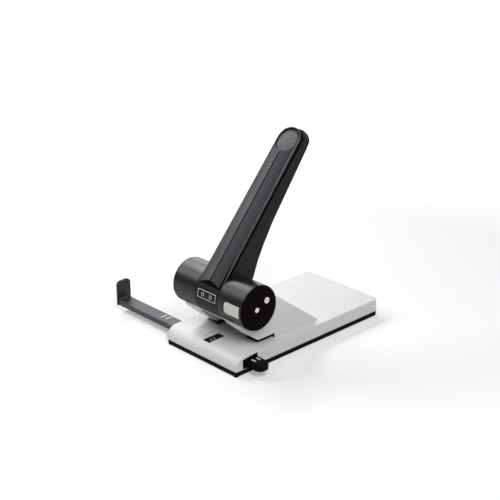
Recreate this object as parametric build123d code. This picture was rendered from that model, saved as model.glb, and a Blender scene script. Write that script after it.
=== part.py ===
from build123d import *
import math
import os

# Two-hole punch for thick stacks. Millimetres, +Z up, +Y to the rear, X along the drum.
# The origin is the middle of the rest face under the chip tray.

# Base and chip tray
BASE_WIDTH = 140.0
BASE_LENGTH = 278.0
BASE_TOP = 25.8
BASE_WALL = 3.5
BASE_REAR_CORNER = 8.0
BASE_EDGE_ROUND = 1.0
FRONT_ROUND = 16.0
RIB = 2.5
RIB_DEPTH = 9.0
TRAY_HEIGHT = 7.8
TRAY_GAP = 0.2
TRAY_WALL = 2.5
TRAY_FLOOR = 2.0
TRAY_INSET = 0.5
TRAY_LIP_RISE = 3.2
TRAY_LIP_WALL = 1.6
TRAY_LIP_GAP = 0.5
TRAY_TONGUE_WIDTH = 14.0
TRAY_TONGUE_SPREAD = 90.0
TRAY_TONGUE_REACH = 2.0
TRAY_CORNER = 6.0
TRAY_RIB = 1.6
TRAY_RIB_PITCH = 45.0

# Punch bridge
BOSS_SIDE = 16.5
BRIDGE_WALL = 5.0
BRIDGE_SKIN = 4.0
BRIDGE_REAR = 28.0
BRIDGE_SLOPE = 36.86
BRIDGE_EDGE_ROUND = 1.5
SLOT_HEIGHT = 6.7
SLOT_BACK = -56.0
BOSS_FRONT = -87.0
CHIN_LIP_Y = -113.0
CHIN_LIP_Z = 56.0
CHIN_ROUND = 7.0
ARCH_HEIGHT = 23.7
ARCH_ROUND = 12.0
CAVITY_FRONT = -44.0
SCREW_SPREAD = 96.0
SCREW_ROWS = (-38.0, 0.0)
SCREW_RADIUS = 2.5
SCREW_HEAD_RADIUS = 5.0
SCREW_HEAD = 3.5
SCREW_GRIP = 12.0
SCREW_POST_RADIUS = 6.5

# Drum
DRUM_Y = -95.5
DRUM_Z = 85.6
DRUM_RADIUS = 31.5
DRUM_WALL = 2.6
DRUM_OVERHANG = 11.9
CAP_THICK = 2.0
CAP_INSET = 0.6
CAP_SPIGOT = 3.0
CAP_SPIGOT_WALL = 2.0
COVER_OPEN_FROM = -130.0
COVER_OPEN_TO = -20.0
AXLE_PLUG_RADIUS = 3.4
AXLE_PLUG_PROUD = 0.5
AXLE_PLUG_Y = -3.5
AXLE_PLUG_Z = -1.7
CAP_PIN_RADIUS = 4.2
CAP_PIN_HOLE = 1.4
CAP_PIN_Y = 14.2
CAP_PIN_Z = 7.2

# Lever
LEVER_ANGLE = 49.4
LEVER_PRESS = 35.0
LEVER_LENGTH = 240.0
LEVER_HALF_WIDTH = 22.2
LEVER_TIP_HALF = 20.0
LEVER_INSET = 0.8
LEVER_WALL = 3.6
LEVER_TIP_ROUND = 18.5
LEVER_SHELL_PROUD = 1.0
LEVER_SHELL_ROUND = 12.0
LEVER_SHELL_REACH = 1.0
LEVER_RIDGE_PROUD = 3.2
LEVER_CREASE = 3.7
LEVER_LAP = 5.5
LEVER_LIP = 0.7
LEVER_GAP_DEPTH = 1.6
LEVER_CROWN = 0.5
LEVER_FACE_THICK = 2.4
LEVER_FOOT_EDGE = -3.0
LEVER_FOOT_RIDGE = 4.5
LEVER_RIB_PITCH = 38.0
LEVER_HEEL = ((-0.6, 22.0), (1.4, 17.4), (9.0, 13.6), (19.0, 12.0))
LEVER_NECK = ((115.0, 4.2), (81.0, -1.2), (60.0, -6.0), (33.0, -15.0))
GROOVE_WIDTH = 2.0
GROOVE_DEPTH = 1.6
HUB_INSET = 0.2
HUB_WIDTH = 44.6
PAD_LENGTH = 39.6
PAD_SLOPE = 4.0
PAD_HALF_WIDTH = 17.8
PAD_THICK = 1.2
PAD_SUNK = 4.4
PAD_MARGIN = 1.8

# Shaft, bearings and lock
SHAFT_RADIUS = 7.0
SHAFT_LENGTH = 122.0
BUSH_RADIUS = 10.0
BUSH_FLANGE_RADIUS = 12.0
BUSH_FLANGE = 1.0
LUG_RADIUS = 17.0
LUG_FOOT = 24.0
RING_RADIUS = 9.4
RING_THICK = 1.0
HUB_PIN_RADIUS = 2.5
HUB_PIN_LENGTH = 52.0
BUTTON_LENGTH = 27.7
BUTTON_MARGIN = 3.6
BUTTON_ANGLE = 1.75
BUTTON_HEIGHT = 16.0
BUTTON_PROUD = 0.4
BUTTON_WALL = 2.6
BUTTON_ROUND = 4.0
BUTTON_TRAVEL = 2.5
BUTTON_STEM = 6.0
BUTTON_STEM_SETBACK = 3.1
BUTTON_STEM_WIDTH = 2.4
CAM_RADIUS = 20.5
CAM_THICK = 3.0

# Gear and rack drive
PUNCH_SPACING = 80.0
MODULE = 1.5
GEAR_TEETH = 22
GEAR_WIDTH = 8.0
GEAR_BODY_RADIUS = 14.6
GEAR_TOOTH_TIP = 0.42
GEAR_TOOTH_ROOT = 1.3
GEAR_TEETH_BELOW = 1
GEAR_TEETH_ABOVE = 3
RACK_WIDTH = 9.0
RACK_BACK = 4.6
RACK_THIN = 0.16
RACK_TEETH_BELOW = 1
RACK_TEETH_ABOVE = 3
PRESSURE_ANGLE = 20.0
CARRIAGE_LOW = 62.0
CARRIAGE_HEIGHT = 8.0
CARRIAGE_HALF_WIDTH = 5.5
CARRIAGE_REAR = 6.5

# Punch pins, bushes, dies and springs
PIN_RADIUS = 3.0
PIN_SETBACK = 12.0
PIN_REST = 1.5
PIN_HEAD_RADIUS = 4.4
PIN_HEAD = 2.0
PIN_GRIND = 9.0
PIN_GRIND_DEPTH = 1.4
GUIDE_RADIUS = 6.0
GUIDE_TOP = 44.0
DIE_RADIUS = 7.0
DIE_DEPTH = 6.0
DIE_GAP = 0.06
DIE_BOSS_WALL = 3.0
RUN_GAP = 0.05
SPRING_RADIUS = 4.7
SPRING_WIRE = 1.2
SPRING_TURNS = 4
SPRING_SEAT = 0.3
LOCK_SPRING_RADIUS = 2.8
LOCK_SPRING_WIRE = 0.8
LOCK_SPRING_TURNS = 3
POCKET_GAP = 0.8

# Paper guide
RAIL_Y = -111.0
RAIL_WIDTH = 21.0
RAIL_BOTTOM = 10.0
RAIL_TOP = 18.0
RAIL_WALL = 1.8
RAIL_REACH = 130.0
RAIL_GAP = 0.4
STOP_THICK = 3.0
STOP_LAP = 1.5
STOP_TOP = 47.0
STOP_ROUND = 7.0
STOP_PLUG = 18.0
GRIP_ROOT = 2.2
GRIP_REACH = 26.5
GRIP_BOTTOM = 10.8
GRIP_TOP = 19.6
GRIP_ROUND = 9.0
GRIP_EDGE = 1.5
GRIP_FLANGE_FRONT = -126.5
GRIP_FLANGE_FOOT = 8.4
GRIP_FLANGE_TOP = (21.7, 24.5)
GRIP_FLANGE_GAP = 0.3
KEEPER_WIDTH = 20.0
KEEPER_THICK = 1.5
KEEPER_LAP = 8.0
KEEPER_SCREW_RADIUS = 1.5
KEEPER_HEAD_RADIUS = 2.8
KEEPER_HEAD = 1.6
KEEPER_GRIP = 5.0
DETENT_THICK = 0.6
DETENT_X = -40.0
DETENT_LENGTH = 44.0
DETENT_BUMP = 1.6
DETENT_GAP = 0.3
WINDOW_X = -0.6
WINDOW_Y = -114.0
WINDOW_WIDTH = 12.0
WINDOW_LENGTH = 26.0
WINDOW_SINK = 1.4
WINDOW_THICK = 1.6
WINDOW_GAP = 0.1
SCOOP_X = -5.5
SCOOP_Y = -110.2
SCOOP_WIDTH = 21.6
SCOOP_LENGTH = 28.4
SCOOP_ROUND = 9.0
SCOOP_DEPTH = 1.4
FIT_GAP = 0.1

# Derived places
HALF_WIDTH = BASE_WIDTH / 2
BRIDGE_WIDTH = PUNCH_SPACING + 2 * BOSS_SIDE
ARCH_WIDTH = PUNCH_SPACING - 2 * BOSS_SIDE
DRUM_LENGTH = BRIDGE_WIDTH + 2 * DRUM_OVERHANG
HUB_RADIUS = DRUM_RADIUS - HUB_INSET
LEVER_RIDGE = DRUM_RADIUS + LEVER_RIDGE_PROUD
LEVER_EDGE = LEVER_RIDGE - LEVER_CREASE
LEVER_SEAM = LEVER_EDGE - LEVER_LAP
LEVER_REAR = (*((LEVER_LENGTH - back, off) for back, off in LEVER_HEEL), *LEVER_NECK)
PAD_START = LEVER_LENGTH - PAD_LENGTH
RAIL_LEFT = -HALF_WIDTH - RAIL_REACH
GRIP_LEFT = HALF_WIDTH - GRIP_ROOT
GRIP_RIGHT = HALF_WIDTH + GRIP_REACH
RAIL_RIGHT = GRIP_LEFT
STOP_WIDTH = RAIL_WIDTH + 2 * STOP_LAP
FRONT = -BASE_LENGTH / 2
REAR = BASE_LENGTH / 2
PLATE_UNDER = BASE_TOP - BASE_WALL
BRIDGE_HALF = BRIDGE_WIDTH / 2
SLOT_TOP = BASE_TOP + SLOT_HEIGHT
COVER_END = DRUM_LENGTH / 2 - CAP_THICK
COVER_BORE = DRUM_RADIUS - DRUM_WALL
BUTTON_HIGH_X = COVER_END - BUTTON_MARGIN
BUTTON_LOW_X = BUTTON_HIGH_X - BUTTON_LENGTH
BUTTON_STEM_X = BRIDGE_HALF - BRIDGE_WALL - BUTTON_STEM_SETBACK
HUB_HALF = HUB_WIDTH / 2
COVER_START = HUB_HALF + 3 * FIT_GAP
DRUM_AXIS = Axis((0, DRUM_Y, DRUM_Z), (1, 0, 0))
PITCH_RADIUS = MODULE * GEAR_TEETH / 2
TOOTH_PITCH = math.pi * MODULE
RACK_Y = DRUM_Y + PITCH_RADIUS
PUNCH_X = PUNCH_SPACING / 2
PIN_Y = SLOT_BACK - PIN_SETBACK
PIN_TIP = SLOT_TOP + PIN_REST
CARRIAGE_TOP = CARRIAGE_LOW + CARRIAGE_HEIGHT
TRAY_RIM = TRAY_HEIGHT - TRAY_GAP
CAM_NOTCH_DEPTH = 2 * BUTTON_TRAVEL
LEVER_ALONG = (0, math.cos(math.radians(LEVER_ANGLE)), math.sin(math.radians(LEVER_ANGLE)))
LEVER_OFF = (0, -LEVER_ALONG[2], LEVER_ALONG[1])
LEVER_SIDE = Plane(origin=(0, DRUM_Y, DRUM_Z), x_dir=LEVER_ALONG, z_dir=(1, 0, 0))
LEVER_FRONT = Plane(origin=(0, DRUM_Y, DRUM_Z), x_dir=(1, 0, 0), z_dir=LEVER_OFF)
LEVER_SECTION = Plane(origin=(0, DRUM_Y, DRUM_Z), x_dir=(-1, 0, 0), z_dir=LEVER_ALONG)


def block(x_low, x_high, y_low, y_high, z_low, z_high):
    """Box between two corners."""
    middle = Pos((x_low + x_high) / 2, (y_low + y_high) / 2, (z_low + z_high) / 2)
    return middle * Box(x_high - x_low, y_high - y_low, z_high - z_low)


def post(radius, x, y, z_low, z_high):
    """Upright cylinder."""
    return Pos(x, y, z_low) * extrude(Circle(radius), z_high - z_low)


def roller(radius, x_low, x_high, y=DRUM_Y, z=DRUM_Z):
    """Cylinder along X, on the drum axis unless another place is given."""
    return Plane.YZ.offset(x_low) * Pos(y, z) * extrude(Circle(radius), x_high - x_low)


def slab(points, x_low, x_high, plane=Plane.YZ):
    """Prism along X from a closed outline on the plane."""
    face = make_face(Polyline(*points, close=True))
    return extrude(plane.offset(x_low) * face, x_high - x_low)


def drum_wedge(radius, start, stop, x_low, x_high):
    """Pie slice about the drum axis. Angles run from the rear, upwards."""
    first = Vector(radius, 0).rotate(Axis.Z, start)
    middle = Vector(radius, 0).rotate(Axis.Z, (start + stop) / 2)
    last = Vector(radius, 0).rotate(Axis.Z, stop)
    rim = ThreePointArc(first, middle, last)
    face = make_face([Line((0, 0), first), rim, Line(last, (0, 0))])
    return Plane.YZ.offset(x_low) * Pos(DRUM_Y, DRUM_Z) * extrude(face, x_high - x_low)


def mirrored(shape):
    """The same piece on the other side of the middle plane."""
    return mirror(shape, Plane.YZ)


def helix_spot(radius, rise, turn):
    """Point and unit direction on a helix about Z after a turn in radians."""
    spot = Vector(radius * math.cos(turn), radius * math.sin(turn), rise * turn)
    way = Vector(-radius * math.sin(turn), radius * math.cos(turn), rise)
    return spot, way.normalized()


def coil(radius, wire, turns, height, name):
    """Compression spring along +Z from z = 0: one tube on half-turn biarcs, with its least gap printed."""
    rise = (height - wire) / (2 * math.pi * turns)
    path = []
    for half in range(2 * turns):
        start, start_way = helix_spot(radius, rise, math.pi * half)
        stop, stop_way = helix_spot(radius, rise, math.pi * (half + 1))
        chord, both = stop - start, start_way + stop_way
        bend = 1 - start_way.dot(stop_way)
        along = chord.dot(both)
        reach = (math.sqrt(along**2 + 2 * bend * chord.dot(chord)) - along) / (2 * bend)
        join = (start + stop + (start_way - stop_way) * reach) * 0.5
        join_way = (stop - stop_way * reach) - (start + start_way * reach)
        path.append(TangentArc(start, join, tangent=start_way))
        path.append(TangentArc(join, stop, tangent=join_way.normalized()))
    line = Wire(path)
    spring = sweep(Plane(origin=line @ 0, x_dir=(1, 0, 0), z_dir=line % 0) * Rectangle(wire, wire), path=line)
    steps = 24 * turns
    marks = [line @ (step / steps) for step in range(steps + 1)]
    far = steps // turns // 2
    gaps = [(a - b).length for i, a in enumerate(marks) for b in marks[i + far:]]
    print(name, "least gap between turns", round(min(gaps) - wire, 2))
    return Pos(0, 0, wire / 2) * spring


def base_profile(inset):
    """Side outline of the base with its rounded front, drawn in by a wall."""
    low, high = FRONT + inset, REAR - inset
    top = BASE_TOP - inset
    curve = FRONT_ROUND - inset
    nose = (low + curve * (1 - math.sqrt(0.5)), top - curve * (1 - math.sqrt(0.5)))
    return make_face([
        Line((low, TRAY_HEIGHT), (low, top - curve)),
        ThreePointArc((low, top - curve), nose, (low + curve, top)),
        Line((low + curve, top), (high, top)),
        Line((high, top), (high, TRAY_HEIGHT)),
        Line((high, TRAY_HEIGHT), (low, TRAY_HEIGHT)),
    ])


def screw_places():
    """The four places where the bridge is screwed to the base."""
    return [(side * SCREW_SPREAD / 2, row) for side in (-1, 1) for row in SCREW_ROWS]


def keeper_places():
    """The two screws of the strap under the rail."""
    reach = RAIL_WIDTH / 2 + RAIL_GAP + RIB / 2
    return [(0, RAIL_Y - reach), (0, RAIL_Y + reach)]


def rail_ribs():
    """The two walls under the base top between which the rail slides."""
    inner = RAIL_WIDTH / 2 + RAIL_GAP
    reach = HALF_WIDTH - BASE_WALL
    ribs = []
    for side in (-1, 1):
        low, high = sorted((RAIL_Y + side * inner, RAIL_Y + side * (inner + RIB)))
        ribs.append(block(-reach, reach, low, high, RAIL_BOTTOM - RAIL_GAP, PLATE_UNDER))
    return ribs


def base_casting():
    """Die-cast base: rounded front, hollow underside with ribs, die bosses and the rail tunnel."""
    body = extrude(Plane.YZ.offset(-HALF_WIDTH) * base_profile(0), BASE_WIDTH)
    corners = body.edges().filter_by(Axis.Z).group_by(Axis.Y)[-1]
    body = fillet(corners, BASE_REAR_CORNER)
    rims = body.faces().sort_by(Axis.Z)[-1].edges()
    rims = [edge for edge in rims if edge.center().Y > FRONT + FRONT_ROUND]
    body = fillet(rims, BASE_EDGE_ROUND)
    inner = HALF_WIDTH - BASE_WALL
    body -= extrude(Plane.YZ.offset(-inner) * base_profile(BASE_WALL), 2 * inner)
    back = REAR - BASE_WALL
    rib_low = PLATE_UNDER - RIB_DEPTH
    for row in (SCREW_ROWS[1] + BRIDGE_REAR, SCREW_ROWS[1] + 3 * BRIDGE_REAR):
        body += block(-inner, inner, row - RIB / 2, row + RIB / 2, rib_low, PLATE_UNDER)
    for side in (-1, 1):
        place = side * PUNCH_X
        body += block(place - RIB / 2, place + RIB / 2, BRIDGE_REAR, back, rib_low, PLATE_UNDER)
    for rib in rail_ribs():
        body += rib
    for side in (-1, 1):
        die_floor = BASE_TOP - DIE_DEPTH
        body += post(DIE_RADIUS + DIE_BOSS_WALL, side * PUNCH_X, PIN_Y, die_floor - BASE_WALL, BASE_TOP)
        body -= post(DIE_RADIUS, side * PUNCH_X, PIN_Y, die_floor, BASE_TOP)
        body -= post(PIN_RADIUS + 1, side * PUNCH_X, PIN_Y, TRAY_HEIGHT, die_floor)
        tongue = side * TRAY_TONGUE_SPREAD / 2
        half = TRAY_TONGUE_WIDTH / 2 + TRAY_LIP_GAP
        notch_back = back + TRAY_TONGUE_REACH + TRAY_LIP_GAP
        notch_top = TRAY_HEIGHT + TRAY_LIP_RISE + TRAY_LIP_GAP
        body -= block(tongue - half, tongue + half, back, notch_back, TRAY_HEIGHT, notch_top)
    for x, y in screw_places():
        body -= post(SCREW_RADIUS + RUN_GAP, x, y, PLATE_UNDER, BASE_TOP)
    for x, y in keeper_places():
        body -= post(KEEPER_SCREW_RADIUS, x, y, RAIL_BOTTOM - RAIL_GAP, RAIL_BOTTOM + KEEPER_GRIP)
    slit = RAIL_WIDTH / 2 + RAIL_GAP
    slit_low, slit_high = RAIL_BOTTOM - RAIL_GAP, RAIL_TOP + RAIL_GAP
    body -= block(-HALF_WIDTH, -inner, RAIL_Y - slit, RAIL_Y + slit, slit_low, slit_high)
    body -= block(inner, HALF_WIDTH, RAIL_Y - slit, RAIL_Y + slit, slit_low, slit_high)
    body -= slab(flange_outline(GRIP_FLANGE_GAP), GRIP_LEFT - FIT_GAP, HALF_WIDTH)
    detent_low = DETENT_X - DETENT_LENGTH / 2
    rib_face = RAIL_Y + slit
    detent_high = detent_low + DETENT_LENGTH
    body -= block(detent_low, detent_high, rib_face, rib_face + DETENT_BUMP, slit_low, PLATE_UNDER)
    half_window, half_length = WINDOW_WIDTH / 2, WINDOW_LENGTH / 2
    dish = RectangleRounded(SCOOP_WIDTH, SCOOP_LENGTH, SCOOP_ROUND)
    body -= Pos(SCOOP_X, SCOOP_Y, BASE_TOP - SCOOP_DEPTH) * extrude(dish, SCOOP_DEPTH)
    body -= block(
        WINDOW_X - half_window,
        WINDOW_X + half_window,
        WINDOW_Y - half_length,
        WINDOW_Y + half_length,
        PLATE_UNDER - BASE_WALL,
        BASE_TOP,
    )
    return body


def chip_tray():
    """Bottom pan: floor with ribs, outer rim, and an inner lip with two tongues at its rear edge."""
    width = BASE_WIDTH - 2 * TRAY_INSET
    length = BASE_LENGTH - 2 * TRAY_INSET
    pan = extrude(RectangleRounded(width, length, TRAY_CORNER), TRAY_RIM)
    pan = chamfer(pan.faces().sort_by(Axis.Z)[0].edges(), BASE_EDGE_ROUND)
    hollow = RectangleRounded(width - 2 * TRAY_WALL, length - 2 * TRAY_WALL, TRAY_CORNER - TRAY_WALL)
    pan -= Pos(0, 0, TRAY_FLOOR) * extrude(hollow, TRAY_RIM)
    lip_inset = BASE_WALL + TRAY_LIP_GAP
    lip_width, lip_length = BASE_WIDTH - 2 * lip_inset, BASE_LENGTH - 2 * lip_inset
    ring = RectangleRounded(lip_width, lip_length, TRAY_CORNER)
    ring -= RectangleRounded(lip_width - 2 * TRAY_LIP_WALL, lip_length - 2 * TRAY_LIP_WALL, TRAY_CORNER / 2)
    lip_top = TRAY_HEIGHT + TRAY_LIP_RISE
    lip = Pos(0, 0, TRAY_FLOOR) * extrude(ring, lip_top - TRAY_FLOOR)
    door = RAIL_WIDTH / 2 + RAIL_GAP + RIB + TRAY_LIP_GAP
    lip -= block(-HALF_WIDTH, HALF_WIDTH, RAIL_Y - door, RAIL_Y + door, TRAY_RIM, lip_top)
    pan += lip
    back = REAR - lip_inset
    for side in (-1, 1):
        tongue = side * TRAY_TONGUE_SPREAD / 2
        half = TRAY_TONGUE_WIDTH / 2
        reach = REAR - BASE_WALL + TRAY_TONGUE_REACH
        root = back - TRAY_LIP_WALL
        pan += block(tongue - half, tongue + half, root, reach, lip_top - TRAY_LIP_WALL, lip_top)
    inner = width / 2 - TRAY_WALL
    count = int((length / 2 - TRAY_WALL) / TRAY_RIB_PITCH)
    for row in range(-count, count + 1):
        y = row * TRAY_RIB_PITCH
        pan += block(-inner, inner, y - TRAY_RIB / 2, y + TRAY_RIB / 2, TRAY_FLOOR, TRAY_FLOOR + TRAY_RIB)
    return pan


def slope_z(y):
    """Height of the bridge's sloped back over a place along the base."""
    return BASE_TOP + math.tan(math.radians(BRIDGE_SLOPE)) * (BRIDGE_REAR - y)


def lever_outline():
    """Side outline of the lever moulding, along the lever and forward of the drum axis."""
    hub_join = (HUB_RADIUS * 0.6, -HUB_RADIUS * 0.8)
    tip = (LEVER_LENGTH + LEVER_SHELL_REACH, LEVER_SEAM)
    return [(0, LEVER_SEAM), tip, *LEVER_REAR, hub_join, (0, 0)]


def bridge_outline():
    """Side outline of the bridge: slot roof, chin, drum cradle and sloped back."""
    crest = DRUM_Y + DRUM_RADIUS / 2
    cradle = math.radians(-135.0)
    lip = (DRUM_Y + DRUM_RADIUS * math.cos(cradle), DRUM_Z + DRUM_RADIUS * math.sin(cradle))
    return [
        (BRIDGE_REAR, BASE_TOP),
        (crest, slope_z(crest)),
        (DRUM_Y, DRUM_Z),
        lip,
        (CHIN_LIP_Y, CHIN_LIP_Z),
        (BOSS_FRONT, SLOT_TOP),
        (SLOT_BACK, SLOT_TOP),
        (SLOT_BACK, BASE_TOP),
    ]


def punch_bridge():
    """Cast bridge: two bosses over the paper slot, the arch between them, bearing lugs and sloped back."""
    body = slab(bridge_outline(), -BRIDGE_HALF, BRIDGE_HALF)
    chin = [e for e in body.edges().filter_by(Axis.X) if abs(e.center().Y - BOSS_FRONT) < FIT_GAP]
    body = fillet(chin, CHIN_ROUND)
    sides = [f for f in body.faces().filter_by(Axis.X)]
    rims = [e for f in sides for e in f.edges() if e.center().Y > SLOT_BACK and e.center().Z > SLOT_TOP]
    body = fillet(rims, BRIDGE_EDGE_ROUND)
    body -= roller(DRUM_RADIUS + FIT_GAP, -BRIDGE_HALF, BRIDGE_HALF)
    arch = RectangleRounded(ARCH_WIDTH, 2 * ARCH_HEIGHT, ARCH_ROUND)
    tunnel = Plane.XZ.offset(-SLOT_BACK) * Pos(0, BASE_TOP) * extrude(arch, DRUM_RADIUS * 2)
    body -= tunnel
    well = HUB_HALF + 10 * FIT_GAP
    flare = math.hypot(*LEVER_REAR[-1]) + BRIDGE_EDGE_ROUND
    body -= drum_wedge(flare, -LEVER_PRESS / 2, 80.0, -well, well)
    pressed = slab(lever_outline(), -well, well, LEVER_SIDE).rotate(DRUM_AXIS, -LEVER_PRESS)
    body -= Pos(0, 0, -BRIDGE_EDGE_ROUND) * pressed
    skin = BRIDGE_SKIN / math.cos(math.radians(BRIDGE_SLOPE))
    run_out = BRIDGE_REAR - skin / math.tan(math.radians(BRIDGE_SLOPE))
    room = BRIDGE_HALF - BRIDGE_SKIN
    hollow = [(CAVITY_FRONT, BASE_TOP), (CAVITY_FRONT, slope_z(CAVITY_FRONT) - skin), (run_out, BASE_TOP)]
    cavity = slab(hollow, -room, room)
    for x, y in screw_places():
        cavity -= post(SCREW_POST_RADIUS, x, y, BASE_TOP, DRUM_Z)
    cavity -= block(-RIB, RIB, CAVITY_FRONT, BRIDGE_REAR, BASE_TOP, DRUM_Z)
    body -= cavity
    for x, y in screw_places():
        body -= post(SCREW_RADIUS + RUN_GAP, x, y, BASE_TOP, BASE_TOP + SCREW_GRIP)
    for side in (-1, 1):
        place = side * PUNCH_X
        half = CARRIAGE_HALF_WIDTH + POCKET_GAP
        pocket_front = RACK_Y - MODULE - POCKET_GAP
        pocket_back = PIN_Y + CARRIAGE_REAR + POCKET_GAP
        body -= block(place - half, place + half, pocket_front, pocket_back, GUIDE_TOP, DRUM_Z)
        body -= post(GUIDE_RADIUS, place, PIN_Y, BASE_TOP, GUIDE_TOP)
        low, high = sorted((side * BRIDGE_HALF, side * (BRIDGE_HALF - BRIDGE_WALL)))
        foot_z = DRUM_Z - DRUM_RADIUS - BRIDGE_SKIN
        foot = [
            (DRUM_Y - LUG_RADIUS, DRUM_Z),
            (DRUM_Y - LUG_RADIUS, foot_z + CHIN_ROUND),
            (DRUM_Y + LUG_FOOT, foot_z + CHIN_ROUND),
            (DRUM_Y + LUG_RADIUS, DRUM_Z),
        ]
        lug = roller(LUG_RADIUS, low, high) + slab(foot, low, high)
        body += lug
        body -= roller(BUSH_RADIUS, low, high)
    return body


def button_frame(shape):
    """Turns a piece drawn on the drum's front side to the lock button's place."""
    return shape.rotate(DRUM_AXIS, -BUTTON_ANGLE)


def button_block(gap, depth):
    """Prism of the lock button's outline, rounded on its inner end, from a depth to past the drum."""
    low_x, high_x = BUTTON_LOW_X - gap, BUTTON_HIGH_X + gap
    half = BUTTON_HEIGHT / 2 + gap
    outline = Pos(high_x, 0) * RectangleRounded(2 * (high_x - low_x), 2 * half, BUTTON_ROUND + gap)
    prism = Plane.XZ.offset(-DRUM_Y + depth) * Pos(0, DRUM_Z) * extrude(outline, 2 * DRUM_RADIUS - depth)
    return button_frame(prism & block(low_x, high_x, FRONT, DRUM_Y, DRUM_Z - half, DRUM_Z + half))


def drum_cover():
    """Right-hand drum shell, open below where it slides over the bridge's lug and the rack."""
    shell = roller(DRUM_RADIUS, COVER_START, COVER_END) - roller(COVER_BORE, COVER_START, COVER_END)
    gate = BRIDGE_HALF + 3 * FIT_GAP
    return shell - drum_wedge(2 * DRUM_RADIUS, COVER_OPEN_FROM, COVER_OPEN_TO, COVER_START, gate)


def end_cap():
    """Right-hand end disc with its spigot ring and the two holes for its plugs."""
    end = DRUM_LENGTH / 2
    disc = roller(DRUM_RADIUS - CAP_INSET, COVER_END, end)
    ring = roller(COVER_BORE - FIT_GAP, COVER_END - CAP_SPIGOT, COVER_END)
    ring -= roller(COVER_BORE - CAP_SPIGOT_WALL, COVER_END - CAP_SPIGOT, COVER_END)
    cap = disc + ring
    cap -= roller(AXLE_PLUG_RADIUS, COVER_END, end, DRUM_Y + AXLE_PLUG_Y, DRUM_Z + AXLE_PLUG_Z)
    return cap - roller(CAP_PIN_RADIUS - 1, COVER_END, end, DRUM_Y + CAP_PIN_Y, DRUM_Z + CAP_PIN_Z)


def axle_plug():
    """Domed plug near the middle of an end cap."""
    end = DRUM_LENGTH / 2 + AXLE_PLUG_PROUD
    plug = roller(AXLE_PLUG_RADIUS, COVER_END, end, DRUM_Y + AXLE_PLUG_Y, DRUM_Z + AXLE_PLUG_Z)
    return chamfer(plug.faces().sort_by(Axis.X)[-1].edges(), AXLE_PLUG_PROUD / 2)


def cap_pin():
    """Ring-headed rivet that holds an end cap."""
    end = DRUM_LENGTH / 2
    place = (DRUM_Y + CAP_PIN_Y, DRUM_Z + CAP_PIN_Z)
    pin = roller(CAP_PIN_RADIUS, end, end + AXLE_PLUG_PROUD, *place)
    pin += roller(CAP_PIN_RADIUS - 1, COVER_END, end, *place)
    return pin - roller(CAP_PIN_HOLE, COVER_END, end + AXLE_PLUG_PROUD, *place)


def lock_button():
    """Curved push button in the right drum shell, with its stem towards the lock cam."""
    skin = roller(DRUM_RADIUS + BUTTON_PROUD, 0, COVER_END)
    skin -= roller(DRUM_RADIUS + BUTTON_PROUD - BUTTON_WALL, 0, COVER_END)
    key = button_block(0, 0) & skin
    half = BUTTON_STEM / 2
    low = BUTTON_STEM_X - BUTTON_STEM_WIDTH / 2
    stem_end = DRUM_Y - CAM_RADIUS - 5 * FIT_GAP
    stem = block(low, low + BUTTON_STEM_WIDTH, DRUM_Y - DRUM_RADIUS, stem_end, DRUM_Z - half, DRUM_Z + half)
    return key + button_frame(stem)


def lock_spring():
    """Small coil between the right bearing lug and the lock button."""
    room = DRUM_RADIUS + BUTTON_PROUD - BUTTON_WALL - LUG_RADIUS
    lean = BUTTON_HEIGHT / 2 - BUTTON_PROUD
    length = math.sqrt((LUG_RADIUS + room) ** 2 - (lean / 2) ** 2) - LUG_RADIUS - 2 * SPRING_SEAT
    spring = coil(LOCK_SPRING_RADIUS, LOCK_SPRING_WIRE, LOCK_SPRING_TURNS, length, "lock spring")
    place = BRIDGE_HALF - BRIDGE_WALL / 2
    seat = Plane(origin=(place, DRUM_Y - LUG_RADIUS - SPRING_SEAT, DRUM_Z), x_dir=(1, 0, 0), z_dir=(0, -1, 0))
    return button_frame(seat * spring)


def lever_plan(foot_inset, tip_inset, reach, corner):
    """Front outline of the lever, drawn in by insets at foot and tip, with rounded tip corners."""
    low = -2 * HUB_RADIUS
    foot, tip = LEVER_HALF_WIDTH - foot_inset, LEVER_TIP_HALF - tip_inset
    lean = (foot - tip) / LEVER_LENGTH
    wide, narrow = foot - lean * low, foot - lean * reach
    sheet = make_face(Polyline((-wide, low), (wide, low), (narrow, reach), (-narrow, reach), close=True))
    sheet = fillet(sheet.vertices().group_by(Axis.Y)[-1], corner)
    return LEVER_FRONT.offset(-2 * HUB_RADIUS) * extrude(sheet, 4 * HUB_RADIUS)


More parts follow.
